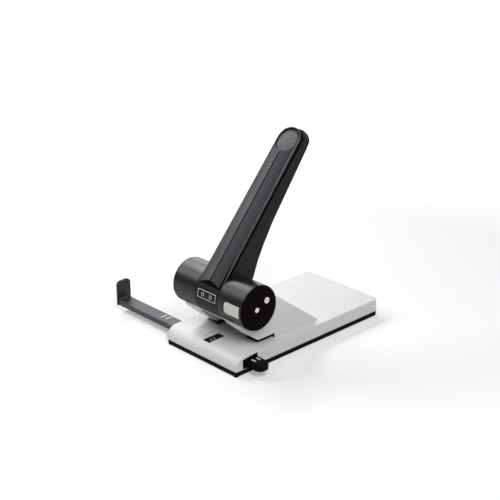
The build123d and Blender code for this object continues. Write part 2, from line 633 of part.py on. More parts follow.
def lever_shell():
    """Lever moulding: a ribbed channel with a squarer tip than its panel, flaring into the hub."""
    half = LEVER_HALF_WIDTH + LEVER_SHELL_PROUD
    body = slab(lever_outline(), -half, half, LEVER_SIDE)
    reach = LEVER_LENGTH + LEVER_SHELL_REACH
    body = body & lever_plan(LEVER_INSET, -LEVER_SHELL_PROUD, reach, LEVER_SHELL_ROUND)
    turns = len(LEVER_HEEL)
    heel = [(along - LEVER_WALL, off + LEVER_WALL) for along, off in LEVER_REAR[1:turns]]
    neck = [(along, off + LEVER_WALL) for along, off in LEVER_REAR[turns:-1]]
    flare, flare_off = LEVER_REAR[-1]
    foot = (flare + LEVER_WALL, flare_off + 2 * LEVER_WALL)
    start, end = (HUB_RADIUS + LEVER_WALL, LEVER_SEAM), (heel[0][0], LEVER_SEAM)
    room = slab([start, end, *heel, *neck, foot], -half, half, LEVER_SIDE)
    inset = LEVER_INSET + LEVER_WALL
    room = room & lever_plan(inset, inset, LEVER_LENGTH - inset, LEVER_SHELL_ROUND)
    for step in range(2, int(LEVER_LENGTH / LEVER_RIB_PITCH)):
        along = step * LEVER_RIB_PITCH
        rib = [(along, flare_off), (along + RIB, flare_off), (along + RIB, LEVER_SEAM), (along, LEVER_SEAM)]
        room -= slab(rib, -half, half, LEVER_SIDE)
    body -= room
    body += roller(HUB_RADIUS, -HUB_HALF, HUB_HALF)
    body -= roller(SHAFT_RADIUS, -HUB_HALF, HUB_HALF)
    return body - hub_pin()


def lever_roof(half, lip):
    """Section of the panel's lip: two crowned facets that meet in the ridge."""
    middle = (LEVER_EDGE + LEVER_RIDGE) / 2 + LEVER_CROWN
    left = ThreePointArc((-half, LEVER_EDGE), (-half / 2, middle), (0, LEVER_RIDGE))
    right = ThreePointArc((0, LEVER_RIDGE), (half / 2, middle), (half, LEVER_EDGE))
    base = Polyline((half, LEVER_EDGE), (half, lip), (-half, lip), (-half, LEVER_EDGE))
    return make_face([*left.edges(), *right.edges(), *base.edges()])


def lever_face():
    """Ridged front panel on a skirt that leaves a shadow gap, hollow behind, with the pad's recess."""
    half, lip = LEVER_HALF_WIDTH, LEVER_EDGE - LEVER_LIP
    section = LEVER_SECTION.offset(LEVER_FOOT_EDGE) * lever_roof(half, lip)
    panel = extrude(section, LEVER_LENGTH - LEVER_FOOT_EDGE)
    panel = panel & lever_plan(0, 0, LEVER_LENGTH, LEVER_TIP_ROUND)
    drop = math.tan(math.radians(PAD_SLOPE)) * (LEVER_LENGTH - PAD_START)
    side = [
        (LEVER_FOOT_EDGE, lip),
        (LEVER_FOOT_EDGE, LEVER_EDGE),
        (LEVER_FOOT_RIDGE, LEVER_RIDGE),
        (PAD_START, LEVER_RIDGE),
        (LEVER_LENGTH, LEVER_RIDGE - drop),
        (LEVER_LENGTH, lip),
    ]
    panel = panel & slab(side, -half, half, LEVER_SIDE)
    skirt = [(0, LEVER_SEAM), (LEVER_LENGTH, LEVER_SEAM), (LEVER_LENGTH, lip), (0, lip)]
    inset = LEVER_GAP_DEPTH
    skirt_plan = lever_plan(inset, inset, LEVER_LENGTH - LEVER_LIP, LEVER_TIP_ROUND - inset)
    panel += slab(skirt, -half, half, LEVER_SIDE) & skirt_plan
    start, end = HUB_RADIUS + LEVER_WALL, PAD_START - LEVER_WALL
    roof = LEVER_EDGE - LEVER_FACE_THICK / 2
    hollow = slab(
        [(start, LEVER_SEAM), (end, LEVER_SEAM), (end, roof), (start, roof)], -half, half, LEVER_SIDE
    )
    inset += LEVER_FACE_THICK
    panel -= hollow & lever_plan(inset, inset, LEVER_LENGTH, LEVER_FACE_THICK)
    cut = GROOVE_WIDTH / 2
    low, high = LEVER_RIDGE - GROOVE_DEPTH, LEVER_RIDGE
    groove = [(LEVER_FOOT_RIDGE, low), (PAD_START, low), (PAD_START, high), (LEVER_FOOT_RIDGE, high)]
    panel -= slab(groove, -cut, cut, LEVER_SIDE)
    panel -= roller(HUB_RADIUS, -half, half)
    return panel - pad_disc(PAD_SUNK + PAD_THICK, 0)


def pad_plane():
    """Plane of the slanted flat at the lever's tip, centred on the pad."""
    slope = math.radians(PAD_SLOPE)
    side, up = Vector(LEVER_ALONG), Vector(LEVER_OFF)
    way = side * math.cos(slope) - up * math.sin(slope)
    start = Vector(0, DRUM_Y, DRUM_Z) + side * PAD_START + up * LEVER_RIDGE
    middle = start + way * pad_reach()
    return Plane(origin=middle, x_dir=(1, 0, 0), z_dir=Vector(1, 0, 0).cross(way))


def pad_reach():
    """Half the length of the slanted flat."""
    return (LEVER_LENGTH - PAD_START) / math.cos(math.radians(PAD_SLOPE)) / 2


def pad_disc(low, high):
    """Round disc square to the slanted flat, between two depths below it."""
    oval = Ellipse(PAD_HALF_WIDTH, pad_reach() - PAD_MARGIN)
    return pad_plane().offset(-low) * extrude(oval, low - high)


def palm_pad():
    """Round pad on the floor of the recess in the lever's tip."""
    return pad_disc(PAD_SUNK + PAD_THICK, PAD_SUNK)


def hub_pin():
    """Spring pin across the hub and the shaft."""
    return LEVER_SECTION.offset(-HUB_PIN_LENGTH / 2) * extrude(Circle(HUB_PIN_RADIUS), HUB_PIN_LENGTH)


def shaft():
    """Cross shaft with chamfered ends and the hole for the hub pin."""
    rod = roller(SHAFT_RADIUS, -SHAFT_LENGTH / 2, SHAFT_LENGTH / 2)
    rod = chamfer(rod.edges().filter_by(GeomType.CIRCLE), RING_THICK)
    return rod - hub_pin()


def bearing_bush():
    """Right-hand flanged bush in the bridge's lug."""
    inner, outer = BRIDGE_HALF - BRIDGE_WALL, BRIDGE_HALF
    bush = roller(BUSH_RADIUS, inner, outer) + roller(BUSH_FLANGE_RADIUS, outer, outer + BUSH_FLANGE)
    return bush - roller(SHAFT_RADIUS + RUN_GAP, inner, outer + BUSH_FLANGE)


def shaft_ring():
    """Right-hand retaining ring, open at its ears, beside the bush."""
    low = BRIDGE_HALF + BUSH_FLANGE + 2 * FIT_GAP
    ring = roller(RING_RADIUS, low, low + RING_THICK) - roller(SHAFT_RADIUS, low, low + RING_THICK)
    mouth = drum_wedge(2 * RING_RADIUS, -105.0, -75.0, low, low + RING_THICK)
    return ring - mouth


def lock_cam():
    """Disc on the shaft with a notch that the button's stem enters over the whole stroke."""
    low = BUTTON_STEM_X - CAM_THICK / 2
    disc = roller(CAM_RADIUS, low, low + CAM_THICK) - roller(SHAFT_RADIUS, low, low + CAM_THICK)
    spread = math.degrees(BUTTON_STEM / 2 / (CAM_RADIUS - CAM_NOTCH_DEPTH)) * 1.5
    middle = 180 - BUTTON_ANGLE
    notch = drum_wedge(2 * CAM_RADIUS, middle - spread, middle + LEVER_PRESS + spread, low, low + CAM_THICK)
    floor = roller(CAM_RADIUS - CAM_NOTCH_DEPTH, low, low + CAM_THICK)
    return disc - (notch - floor)


def gear():
    """Right-hand toothed sector on the shaft. One tooth points straight at the rack at rest."""
    low = PUNCH_X - GEAR_WIDTH / 2
    high = low + GEAR_WIDTH
    body = roller(GEAR_BODY_RADIUS, low, high)
    crown = PITCH_RADIUS + MODULE
    tooth_outline = [
        (DRUM_Y + SHAFT_RADIUS, DRUM_Z - GEAR_TOOTH_ROOT),
        (DRUM_Y + GEAR_BODY_RADIUS, DRUM_Z - GEAR_TOOTH_ROOT),
        (DRUM_Y + crown, DRUM_Z - GEAR_TOOTH_TIP),
        (DRUM_Y + crown, DRUM_Z + GEAR_TOOTH_TIP),
        (DRUM_Y + GEAR_BODY_RADIUS, DRUM_Z + GEAR_TOOTH_ROOT),
        (DRUM_Y + SHAFT_RADIUS, DRUM_Z + GEAR_TOOTH_ROOT),
    ]
    tooth = slab(tooth_outline, low, high)
    for step in range(-GEAR_TEETH_BELOW, GEAR_TEETH_ABOVE + 1):
        body += tooth.rotate(DRUM_AXIS, step * 360 / GEAR_TEETH)
    return body - roller(SHAFT_RADIUS, low, high)


def rack():
    """Right-hand carriage with the rack that the sector drives, bored for the punch pin."""
    low, high = PUNCH_X - RACK_WIDTH / 2, PUNCH_X + RACK_WIDTH / 2
    lean = math.tan(math.radians(PRESSURE_ANGLE))
    half = TOOTH_PITCH / 4 - RACK_THIN
    root = RACK_Y + MODULE * 1.25
    back = root + RACK_BACK
    top = DRUM_Z + (RACK_TEETH_ABOVE + 0.5) * TOOTH_PITCH
    body = block(low, high, root, back, CARRIAGE_LOW, top)
    tip_half, root_half = half - MODULE * lean, half + MODULE * 1.25 * lean
    for step in range(-RACK_TEETH_BELOW - 1, RACK_TEETH_ABOVE):
        z = DRUM_Z + (step + 0.5) * TOOTH_PITCH
        tooth = [
            (root + RUN_GAP, z - root_half),
            (RACK_Y - MODULE, z - tip_half),
            (RACK_Y - MODULE, z + tip_half),
            (root + RUN_GAP, z + root_half),
        ]
        body += slab(tooth, low, high)
    wide = CARRIAGE_HALF_WIDTH
    body += block(PUNCH_X - wide, PUNCH_X + wide, root, PIN_Y + CARRIAGE_REAR, CARRIAGE_LOW, CARRIAGE_TOP)
    return body - post(PIN_RADIUS, PUNCH_X, PIN_Y, CARRIAGE_LOW, CARRIAGE_TOP)


def punch_pin():
    """Right-hand punch pin with a head on the carriage and a hollow-ground tip."""
    pin = post(PIN_RADIUS, PUNCH_X, PIN_Y, PIN_TIP, CARRIAGE_TOP)
    pin += post(PIN_HEAD_RADIUS, PUNCH_X, PIN_Y, CARRIAGE_TOP, CARRIAGE_TOP + PIN_HEAD)
    return pin - roller(PIN_GRIND, 0, HALF_WIDTH, PIN_Y, PIN_TIP + PIN_GRIND_DEPTH - PIN_GRIND)


def guide_bush():
    """Right-hand bush that guides the punch pin through the boss."""
    bush = post(GUIDE_RADIUS, PUNCH_X, PIN_Y, SLOT_TOP, GUIDE_TOP)
    return bush - post(PIN_RADIUS + RUN_GAP, PUNCH_X, PIN_Y, SLOT_TOP, GUIDE_TOP)


def die():
    """Right-hand die ring let into the base plate, relieved below its cutting edge."""
    floor = BASE_TOP - DIE_DEPTH
    ring = post(DIE_RADIUS, PUNCH_X, PIN_Y, floor, BASE_TOP)
    ring -= post(PIN_RADIUS + DIE_GAP, PUNCH_X, PIN_Y, floor, BASE_TOP)
    return ring - post(PIN_RADIUS + 1, PUNCH_X, PIN_Y, floor, BASE_TOP - DIE_DEPTH / 2)


def return_spring():
    """Right-hand coil round the punch pin, between its bush and the carriage."""
    room = CARRIAGE_LOW - GUIDE_TOP - 2 * SPRING_SEAT
    spring = coil(SPRING_RADIUS, SPRING_WIRE, SPRING_TURNS, room, "return spring")
    return Pos(PUNCH_X, PIN_Y, GUIDE_TOP + SPRING_SEAT) * spring


def bridge_screws():
    """Pan-head screws from under the base into the bridge's posts."""
    screws = []
    for x, y in screw_places():
        head = post(SCREW_HEAD_RADIUS, x, y, PLATE_UNDER - SCREW_HEAD, PLATE_UNDER)
        head = chamfer(head.faces().sort_by(Axis.Z)[0].edges(), SCREW_HEAD / 3)
        screws.append(head + post(SCREW_RADIUS, x, y, PLATE_UNDER, BASE_TOP + SCREW_GRIP - FIT_GAP))
    return Compound(screws)


def guide_rail():
    """Channel-section bar of the paper guide, which runs right through the base."""
    half = RAIL_WIDTH / 2
    bar = block(RAIL_LEFT, RAIL_RIGHT, RAIL_Y - half, RAIL_Y + half, RAIL_BOTTOM, RAIL_TOP)
    top_edges = bar.faces().sort_by(Axis.Z)[-1].edges().filter_by(Axis.X)
    bar = fillet(top_edges, RAIL_WALL / 2)
    inner = half - RAIL_WALL
    roof = RAIL_TOP - RAIL_WALL
    return bar - block(RAIL_LEFT, RAIL_RIGHT, RAIL_Y - inner, RAIL_Y + inner, RAIL_BOTTOM, roof)


def rail_plug(start, reach):
    """Tongue that fills the rail's channel from one end."""
    inner = RAIL_WIDTH / 2 - RAIL_WALL - RUN_GAP
    low, high = sorted((start, start + reach))
    roof = RAIL_TOP - RAIL_WALL - RUN_GAP
    return block(low, high, RAIL_Y - inner, RAIL_Y + inner, RAIL_BOTTOM, roof)


def rail_stop():
    """Upturned stop with round shoulders at the rail's left end, plugged into the channel."""
    height = STOP_TOP - RAIL_BOTTOM
    sheet = RectangleRounded(STOP_WIDTH, 2 * height, STOP_ROUND)
    plate = Plane.YZ.offset(RAIL_LEFT - STOP_THICK) * Pos(RAIL_Y, RAIL_BOTTOM) * extrude(sheet, STOP_THICK)
    half = STOP_WIDTH / 2
    plate = plate & block(
        RAIL_LEFT - STOP_THICK, RAIL_LEFT, RAIL_Y - half, RAIL_Y + half, RAIL_BOTTOM, STOP_TOP
    )
    gusset = [(RAIL_LEFT, RAIL_TOP), (RAIL_LEFT, RAIL_TOP + STOP_THICK), (RAIL_LEFT + STOP_THICK, RAIL_TOP)]
    face = make_face(Polyline(*gusset, close=True))
    strip = Plane.XZ.offset(-RAIL_Y - RAIL_WIDTH / 2) * extrude(face, RAIL_WIDTH)
    return plate + rail_plug(RAIL_LEFT, STOP_PLUG) + strip


def flange_outline(gap):
    """Side outline of the grip's flange, with its slanted top, widened by a gap."""
    front, back = GRIP_FLANGE_FRONT - gap, RAIL_Y + RAIL_WIDTH / 2 + gap
    low_top, high_top = (top + gap for top in GRIP_FLANGE_TOP)
    foot = GRIP_FLANGE_FOOT - gap
    return [(front, foot), (back, foot), (back, high_top), (front, low_top)]


def rail_grip():
    """Finger tongue with a rounded end on a flange that closes the opening in the base's side."""
    length = GRIP_RIGHT - GRIP_LEFT
    sheet = Pos(GRIP_LEFT, RAIL_Y) * RectangleRounded(2 * length, RAIL_WIDTH, GRIP_ROUND)
    body = Pos(0, 0, GRIP_BOTTOM) * extrude(sheet, GRIP_TOP - GRIP_BOTTOM)
    half = RAIL_WIDTH / 2
    body = body & block(GRIP_LEFT, GRIP_RIGHT, RAIL_Y - half, RAIL_Y + half, GRIP_BOTTOM, GRIP_TOP)
    rims = [e for e in body.faces().sort_by(Axis.Z)[-1].edges() if e.center().X > GRIP_LEFT + FIT_GAP]
    body = fillet(rims, GRIP_EDGE)
    body += slab(flange_outline(0), GRIP_LEFT, HALF_WIDTH - GRIP_FLANGE_GAP)
    return body + rail_plug(GRIP_LEFT, -STOP_PLUG)


def rail_keeper():
    """Strap under the rail, screwed to the two tunnel walls."""
    reach = RAIL_WIDTH / 2 + RAIL_GAP + KEEPER_LAP
    half = KEEPER_WIDTH / 2
    top = RAIL_BOTTOM - RAIL_GAP
    strap = block(-half, half, RAIL_Y - reach, RAIL_Y + reach, top - KEEPER_THICK, top)
    strap = chamfer(strap.edges().filter_by(Axis.Z), KEEPER_THICK)
    for x, y in keeper_places():
        strap -= post(KEEPER_SCREW_RADIUS, x, y, top - KEEPER_THICK, top)
    return strap


def keeper_screws():
    """Small screws of the rail strap."""
    under = RAIL_BOTTOM - RAIL_GAP - KEEPER_THICK
    screws = []
    for x, y in keeper_places():
        head = post(KEEPER_HEAD_RADIUS, x, y, under - KEEPER_HEAD, under)
        screws.append(head + post(KEEPER_SCREW_RADIUS, x, y, under, RAIL_BOTTOM + KEEPER_GRIP - FIT_GAP))
    return Compound(screws)


def rail_detent():
    """Leaf spring in the rear tunnel wall whose bow bears towards the rail."""
    seat = RAIL_Y + RAIL_WIDTH / 2 + RAIL_GAP + DETENT_BUMP
    crest = RAIL_Y + RAIL_WIDTH / 2 + DETENT_GAP
    low, high = DETENT_X - DETENT_LENGTH / 2 + FIT_GAP, DETENT_X + DETENT_LENGTH / 2 - FIT_GAP
    leaf = make_face([
        Line((low, seat), (low, seat - DETENT_THICK)),
        ThreePointArc((low, seat - DETENT_THICK), (DETENT_X, crest), (high, seat - DETENT_THICK)),
        Line((high, seat - DETENT_THICK), (high, seat)),
        ThreePointArc((high, seat), (DETENT_X, crest + DETENT_THICK), (low, seat)),
    ])
    height = PLATE_UNDER - RAIL_BOTTOM
    return Pos(0, 0, RAIL_BOTTOM) * extrude(leaf, height)


def window_insert():
    """Index plate let into the window of the front plate."""
    width, length = WINDOW_WIDTH - 2 * WINDOW_GAP, WINDOW_LENGTH - 2 * WINDOW_GAP
    top = BASE_TOP - WINDOW_SINK
    return Pos(WINDOW_X, WINDOW_Y, top - WINDOW_THICK) * extrude(Rectangle(width, length), WINDOW_THICK)


def pieces():
    """Every piece of the punch by its node name."""
    right_only = {"lock_button": lock_button(), "lock_spring": lock_spring(), "lock_cam": lock_cam()}
    middle = {
        "base_casting": base_casting(),
        "chip_tray": chip_tray(),
        "punch_bridge": punch_bridge(),
        "lever_shell": lever_shell(),
        "lever_face": lever_face(),
        "palm_pad": palm_pad(),
        "hub_pin": hub_pin(),
        "shaft": shaft(),
        "bridge_screws": bridge_screws(),
        "guide_rail": guide_rail(),
        "rail_stop": rail_stop(),
        "rail_grip": rail_grip(),
        "rail_keeper": rail_keeper(),
        "keeper_screws": keeper_screws(),
        "rail_detent": rail_detent(),
        "window_insert": window_insert(),
    }
    for name, piece in (("axle_plugs", axle_plug()), ("cap_pins", cap_pin()), ("shaft_rings", shaft_ring())):
        middle[name] = Compound([*piece.solids(), *mirrored(piece).solids()])
    pairs = {
        "end_cap": end_cap(),
        "bearing_bush": bearing_bush(),
        "gear": gear(),
        "rack": rack(),
        "punch_pin": punch_pin(),
        "guide_bush": guide_bush(),
        "die": die(),
        "return_spring": return_spring(),
    }
    for name, piece in pairs.items():
        middle[name + "_right"] = piece
        middle[name + "_left"] = mirrored(piece)
    cover = drum_cover()
    middle["drum_cover_left"] = mirrored(cover)
    middle["drum_cover_right"] = cover - button_block(3 * FIT_GAP, 0)
    return {**middle, **right_only}


os.makedirs("parts", exist_ok=True)
for node, shape in pieces().items():
    export_step(shape, f"parts/{node}.step")
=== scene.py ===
"""Looks and studio of a two-hole punch for thick stacks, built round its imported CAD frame.

Sizes in the classes are millimetres in the frame of the part: X along the drum, Y to the rear, Z up.
"""

import logging
import math
from contextlib import contextmanager
from dataclasses import dataclass
from enum import Enum
from functools import partial
from typing import Callable, Iterator, Sequence

import bmesh
import bpy
from mathutils import Matrix, Vector


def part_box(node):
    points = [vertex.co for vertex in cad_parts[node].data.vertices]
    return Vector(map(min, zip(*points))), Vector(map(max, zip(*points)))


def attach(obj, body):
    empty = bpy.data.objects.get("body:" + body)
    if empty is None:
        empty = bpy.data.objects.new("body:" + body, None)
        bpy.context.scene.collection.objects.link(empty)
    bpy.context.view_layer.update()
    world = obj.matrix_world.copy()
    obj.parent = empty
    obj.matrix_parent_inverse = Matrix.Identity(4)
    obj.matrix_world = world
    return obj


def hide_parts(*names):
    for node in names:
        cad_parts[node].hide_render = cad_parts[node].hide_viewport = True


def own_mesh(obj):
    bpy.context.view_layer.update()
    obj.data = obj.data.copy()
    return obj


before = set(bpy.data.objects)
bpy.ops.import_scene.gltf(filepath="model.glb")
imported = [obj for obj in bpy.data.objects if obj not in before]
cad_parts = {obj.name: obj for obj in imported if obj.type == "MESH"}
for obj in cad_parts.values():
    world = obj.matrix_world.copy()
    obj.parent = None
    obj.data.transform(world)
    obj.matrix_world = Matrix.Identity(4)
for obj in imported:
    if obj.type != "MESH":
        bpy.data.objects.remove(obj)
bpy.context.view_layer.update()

MM = 0.001
# Corners this near are merged, and faces within this angle in degrees are joined.
MERGE_MM = 0.002
FLAT_ANGLE = 0.6
# Edges sharper than this many degrees are rounded, in so many steps.
SHARP_ANGLE = 32.0
EDGE_STEPS = 3
# Printed bars: half their thickness in millimetres, and the corner radius as a share of the width.
INK_RISE = 0.06
INK_CORNER = 0.3
log = logging.getLogger("punch")

Point = tuple[float, float, float]
Flat = tuple[float, float]


class Body(Enum):
    """The moving bodies of the punch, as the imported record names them."""

    BASE = "base"
    LEVER = "lever"
    GUIDE = "guide"
    BUTTON = "button"
    TRAY = "tray"


def linear(colour: str) -> tuple[float, float, float, float]:
    """Turns an sRGB hex value to the linear colour that shaders take.

    Args:
        colour: Six hex digits after a hash sign.

    Returns:
        Linear red, green, blue and a full alpha.
    """
    parts = [int(colour[i : i + 2], 16) / 255 for i in (1, 3, 5)]
    red, green, blue = [c / 12.92 if c <= 0.04045 else ((c + 0.055) / 1.055) ** 2.4 for c in parts]
    return red, green, blue, 1.0


def add_node(
    tree: bpy.types.NodeTree,
    kind: str,
    settings: dict | None = None,
    links: dict | None = None,
) -> bpy.types.Node:
    """Adds a node with its settings and the links into it.

    Args:
        tree: Node tree that takes the node.
        kind: Blender's type name of the node.
        settings: Values by input name or number, or by property name.
        links: Output sockets by the input name or number that they feed.

    Returns:
        The new node.
    """
    node = tree.nodes.new(kind)
    for key, value in (settings or {}).items():
        if isinstance(key, int) or key in node.inputs:
            node.inputs[key].default_value = value
        else:
            setattr(node, key, value)
    for key, socket in (links or {}).items():
        tree.links.new(socket, node.inputs[key])
    return node


def new_material(name: str) -> tuple[bpy.types.Material, bpy.types.NodeTree]:
    """Makes an empty node material.

    Args:
        name: Name of the real material and how its surface was made.

    Returns:
        The material and its cleared node tree.
    """
    material = bpy.data.materials.new(name)
    material.use_nodes = True
    material.node_tree.nodes.clear()
    return material, material.node_tree


@dataclass(frozen=True)
class Surface:
    """What every finish has: the material's name, two tones that mix and a mean roughness."""

    name: str
    colour: str
    shade: str
    roughness: float

    def cover(
        self, tree: bpy.types.NodeTree, maps: dict, spread: Point, relief: dict, skin: dict
    ) -> None:
        """Adds the nodes that every finish ends in: tones, sheen, relief and skin.

        Args:
            tree: Tree of the material.
            maps: Sockets that drive the tone, the sheen and the relief, by those names.
            spread: Part of the sheen's map on either side of a half that counts, and how far the
                roughness falls below its mean and rises over it.
            relief: Settings of the bump.
            skin: Settings of the shader.
        """
        tones = {"data_type": "RGBA", 6: linear(self.colour), 7: linear(self.shade)}
        colour = add_node(tree, "ShaderNodeMix", tones, {0: maps["tone"]})
        part, fall, rise = spread
        levels = {1: 0.5 - part, 2: 0.5 + part, 3: self.roughness - fall, 4: self.roughness + rise}
        gloss = add_node(tree, "ShaderNodeMapRange", levels, {0: maps["sheen"]})
        bump = add_node(tree, "ShaderNodeBump", relief, {"Height": maps["relief"]})
        links = {"Base Color": colour.outputs[2], "Roughness": gloss.outputs[0], "Normal": bump.outputs[0]}
        shader = add_node(tree, "ShaderNodeBsdfPrincipled", skin, links)
        add_node(tree, "ShaderNodeOutputMaterial", None, {"Surface": shader.outputs[0]})


@dataclass(frozen=True)
class Moulded(Surface):
    """Injection-moulded plastic or rubber with the fine spark-eroded grain of its tool."""

    grain_mm: float
    grain_depth_mm: float
    specular: float = 0.5
    ior: float = 1.53
    tint: str = "#FFFFFF"
    drift_mm: float = 38.0

    def build(self) -> bpy.types.Material:
        """Makes the material: grain as bump, slow drift of colour and gloss from handling.

        Returns:
            The finished material.
        """
        material, tree = new_material(self.name)
        place = {"Vector": add_node(tree, "ShaderNodeTexCoord").outputs["Object"]}
        fine = {"Scale": 1 / (self.grain_mm * MM), "Detail": 3.0, "Roughness": 0.62}
        grain = add_node(tree, "ShaderNodeTexNoise", fine, place).outputs["Fac"]
        slow = {"Scale": 1 / (self.drift_mm * MM), "Detail": 4.0, "Roughness": 0.55}
        drift = add_node(tree, "ShaderNodeTexNoise", slow, place).outputs["Fac"]
        self.cover(
            tree,
            {"tone": drift, "sheen": drift, "relief": grain},
            (0.2, 0.05, 0.06),
            {"Strength": 0.55, "Distance": self.grain_depth_mm * MM},
            {"IOR": self.ior, "Specular IOR Level": self.specular, "Specular Tint": linear(self.tint)},
        )
        return material


@dataclass(frozen=True)
class PowderCoat(Surface):
    """Powder coat baked on a die casting or on steel strip, with its faint orange peel."""

    peel_mm: float
    peel_depth_mm: float
    fleck: float = 0.35
    specular: float = 0.5
    pigment_mm: float = 0.9
    drift_mm: float = 60.0

    def build(self) -> bpy.types.Material:
        """Makes the material: peel as bump, pigment flecks and a slow drift of tone.

        Returns:
            The finished material.
        """
        material, tree = new_material(self.name)
        place = {"Vector": add_node(tree, "ShaderNodeTexCoord").outputs["Object"]}
        soft = {"Scale": 1 / (self.peel_mm * MM), "Detail": 1.5, "Roughness": 0.4}
        peel = add_node(tree, "ShaderNodeTexNoise", soft, place).outputs["Fac"]
        fine = {"Scale": 1 / (self.pigment_mm * MM), "Detail": 2.0, "Roughness": 0.7}
        pigment = add_node(tree, "ShaderNodeTexNoise", fine, place).outputs["Fac"]
        slow = {"Scale": 1 / (self.drift_mm * MM), "Detail": 3.0, "Roughness": 0.5}
        drift = add_node(tree, "ShaderNodeTexNoise", slow, place).outputs["Fac"]
        sum_of_both = {"operation": "MULTIPLY_ADD", 1: self.fleck}
        tone = add_node(tree, "ShaderNodeMath", sum_of_both, {0: pigment, 2: drift}).outputs[0]
        share = add_node(tree, "ShaderNodeMapRange", {1: 0.45, 2: 0.95}, {0: tone}).outputs[0]
        self.cover(
            tree,
            {"tone": share, "sheen": peel, "relief": peel},
            (0.15, 0.04, 0.05),
            {"Strength": 0.4, "Distance": self.peel_depth_mm * MM},
            {"IOR": 1.5, "Specular IOR Level": self.specular},
        )
        return material


@dataclass(frozen=True)
class BareMetal(Surface):
    """Machined or drawn metal: fine tool lines along one axis over a mottled oil film."""

    line_mm: float
    stretch: Point = (1.0, 1.0, 1.0)
    line_depth_mm: float = 0.02
    film_mm: float = 9.0

    def build(self) -> bpy.types.Material:
        """Makes the material: stretched noise for the tool lines, mottled tone.

        Returns:
            The finished material.
        """
        material, tree = new_material(self.name)
        place = {"Vector": add_node(tree, "ShaderNodeTexCoord").outputs["Object"]}
        drawn = {"Vector": add_node(tree, "ShaderNodeMapping", {"Scale": self.stretch}, place).outputs[0]}
        fine = {"Scale": 1 / (self.line_mm * MM), "Detail": 2.0}
        lines = add_node(tree, "ShaderNodeTexNoise", fine, drawn).outputs["Fac"]
        slow = {"Scale": 1 / (self.film_mm * MM), "Detail": 3.0}
        film = add_node(tree, "ShaderNodeTexNoise", slow, place).outputs["Fac"]
        self.cover(
            tree,
            {"tone": film, "sheen": lines, "relief": lines},
            (0.2, 0.08, 0.1),
            {"Strength": 0.3, "Distance": self.line_depth_mm * MM},
            {"Metallic": 1.0},
        )
        return material


class Finish(Enum):
    """Every finish on the punch. Grain finer than a pixel is drawn several times too coarse, to show."""

    # Warm light grey, low sheen, tone drifts a little over the broad flat plate.
    CASTING = PowderCoat("zinc_die_casting_powder_coated", "#DBDBD9", "#D1D1CF", 0.46, 2.6, 0.05)
    # The rail is the same coat in slate, on cold-rolled strip.
    RAIL = PowderCoat("steel_strip_powder_coated_slate", "#2B2D36", "#25272F", 0.48, 2.2, 0.05, 0.5)
    # Painted shade: flat black on the paper slot's roof, back wall and floor under the bosses, where the slot
    # lies in shade.
    PAINTED_SLOT_SHADE = PowderCoat("black_painted_slot_shade", "#131314", "#0F0F10", 0.6, 1.8, 0.04, 0.3, 0.2)
    # Black with a satin sheen that rolls over the drum.
    DRUM = Moulded("abs_moulded_satin_black", "#1A181C", "#161418", 0.33, 1.9, 0.05, 0.25, tint="#FBF7FF")
    # Panel of the lever and stop plate: a coarser grain, so the sheen is duller.
    LEVER = Moulded("abs_moulded_grained_black", "#201E22", "#19171B", 0.42, 2.2, 0.26, 0.38, tint="#FBF6FF")
    # Shell and hub are a stiffer grade, brown black and dull.
    SHELL = Moulded("polyamide_moulded_brown_black", "#181415", "#141112", 0.46, 1.7, 0.09, 0.13)
    # Flat matt black of the end discs, with hardly any sheen. Also painted shade in the lever panel's groove
    # and on its side walls.
    CAP_AND_SHADE = Moulded("polyamide_matt_black_and_painted_shade", "#0C0607", "#0A0506", 0.62, 1.6, 0.05, 0.02)
    # Soft pad at the lever's tip, greyer than the lever and dull.
    PAD = Moulded("elastomer_moulded_matt_grey", "#4A484D", "#424045", 0.58, 1.5, 0.08)
    # Bottom pan, plain black with a dull shine.
    TRAY = Moulded("polypropylene_moulded_black", "#060607", "#050506", 0.46, 2.1, 0.06, 0.05, 1.49)
    # Finger grip, black and a little shinier than the pan.
    BLACK = Moulded("abs_moulded_black", "#050506", "#040405", 0.40, 1.8, 0.05, 0.05)
    # Button in the grey of the casting, slightly glossier.
    BUTTON = Moulded("abs_moulded_light_grey", "#D0CFCA", "#C8C7C2", 0.38, 1.7, 0.04)
    # Bright white plugs, smooth.
    PLUG = Moulded("acetal_moulded_white", "#F1F0EC", "#EAE9E4", 0.34, 1.4, 0.02, ior=1.48)
    # Smooth black index window with a clear shine.
    WINDOW = Moulded("acrylic_moulded_black", "#060607", "#050506", 0.3, 1.2, 0.01, 0.12, 1.49)
    # White marks, thin and flat.
    INK = Moulded("ink_pad_printed_white", "#E6E6E4", "#DCDCDA", 0.55, 0.9, 0.02)
    # Ground and oiled steel of shaft, pins and dies.
    STEEL = BareMetal("steel_ground_oiled", "#9B9CA0", "#85868A", 0.32, 0.6, (0.15, 1.0, 1.0))
    # Upright pieces have their tool lines along Z.
    PIN_STEEL = BareMetal("tool_steel_ground", "#A3A3A6", "#8D8E92", 0.26, 0.6, (1.0, 1.0, 0.15))
    # Zinc-plated spring wire and screws.
    PLATED = BareMetal("steel_zinc_plated", "#B4B5B6", "#9FA09F", 0.36, 0.9)
    # Sintered bronze of the bushes, brown and dull.
    BRONZE = BareMetal("bronze_sintered_oiled", "#8C6A3F", "#775834", 0.45, 0.8)

    def material(self) -> bpy.types.Material:
        """Returns the finish's material, made on first use."""
        return bpy.data.materials.get(self.value.name) or self.value.build()


@contextmanager
def edited(piece: bpy.types.Object) -> Iterator[bmesh.types.BMesh]:
    """Opens a piece's mesh for changes and writes it back.

    Args:
        piece: Mesh piece.

    Returns:
        The open mesh.
    """
    work = bmesh.new()
    work.from_mesh(piece.data)
    yield work
    work.to_mesh(piece.data)
    work.free()


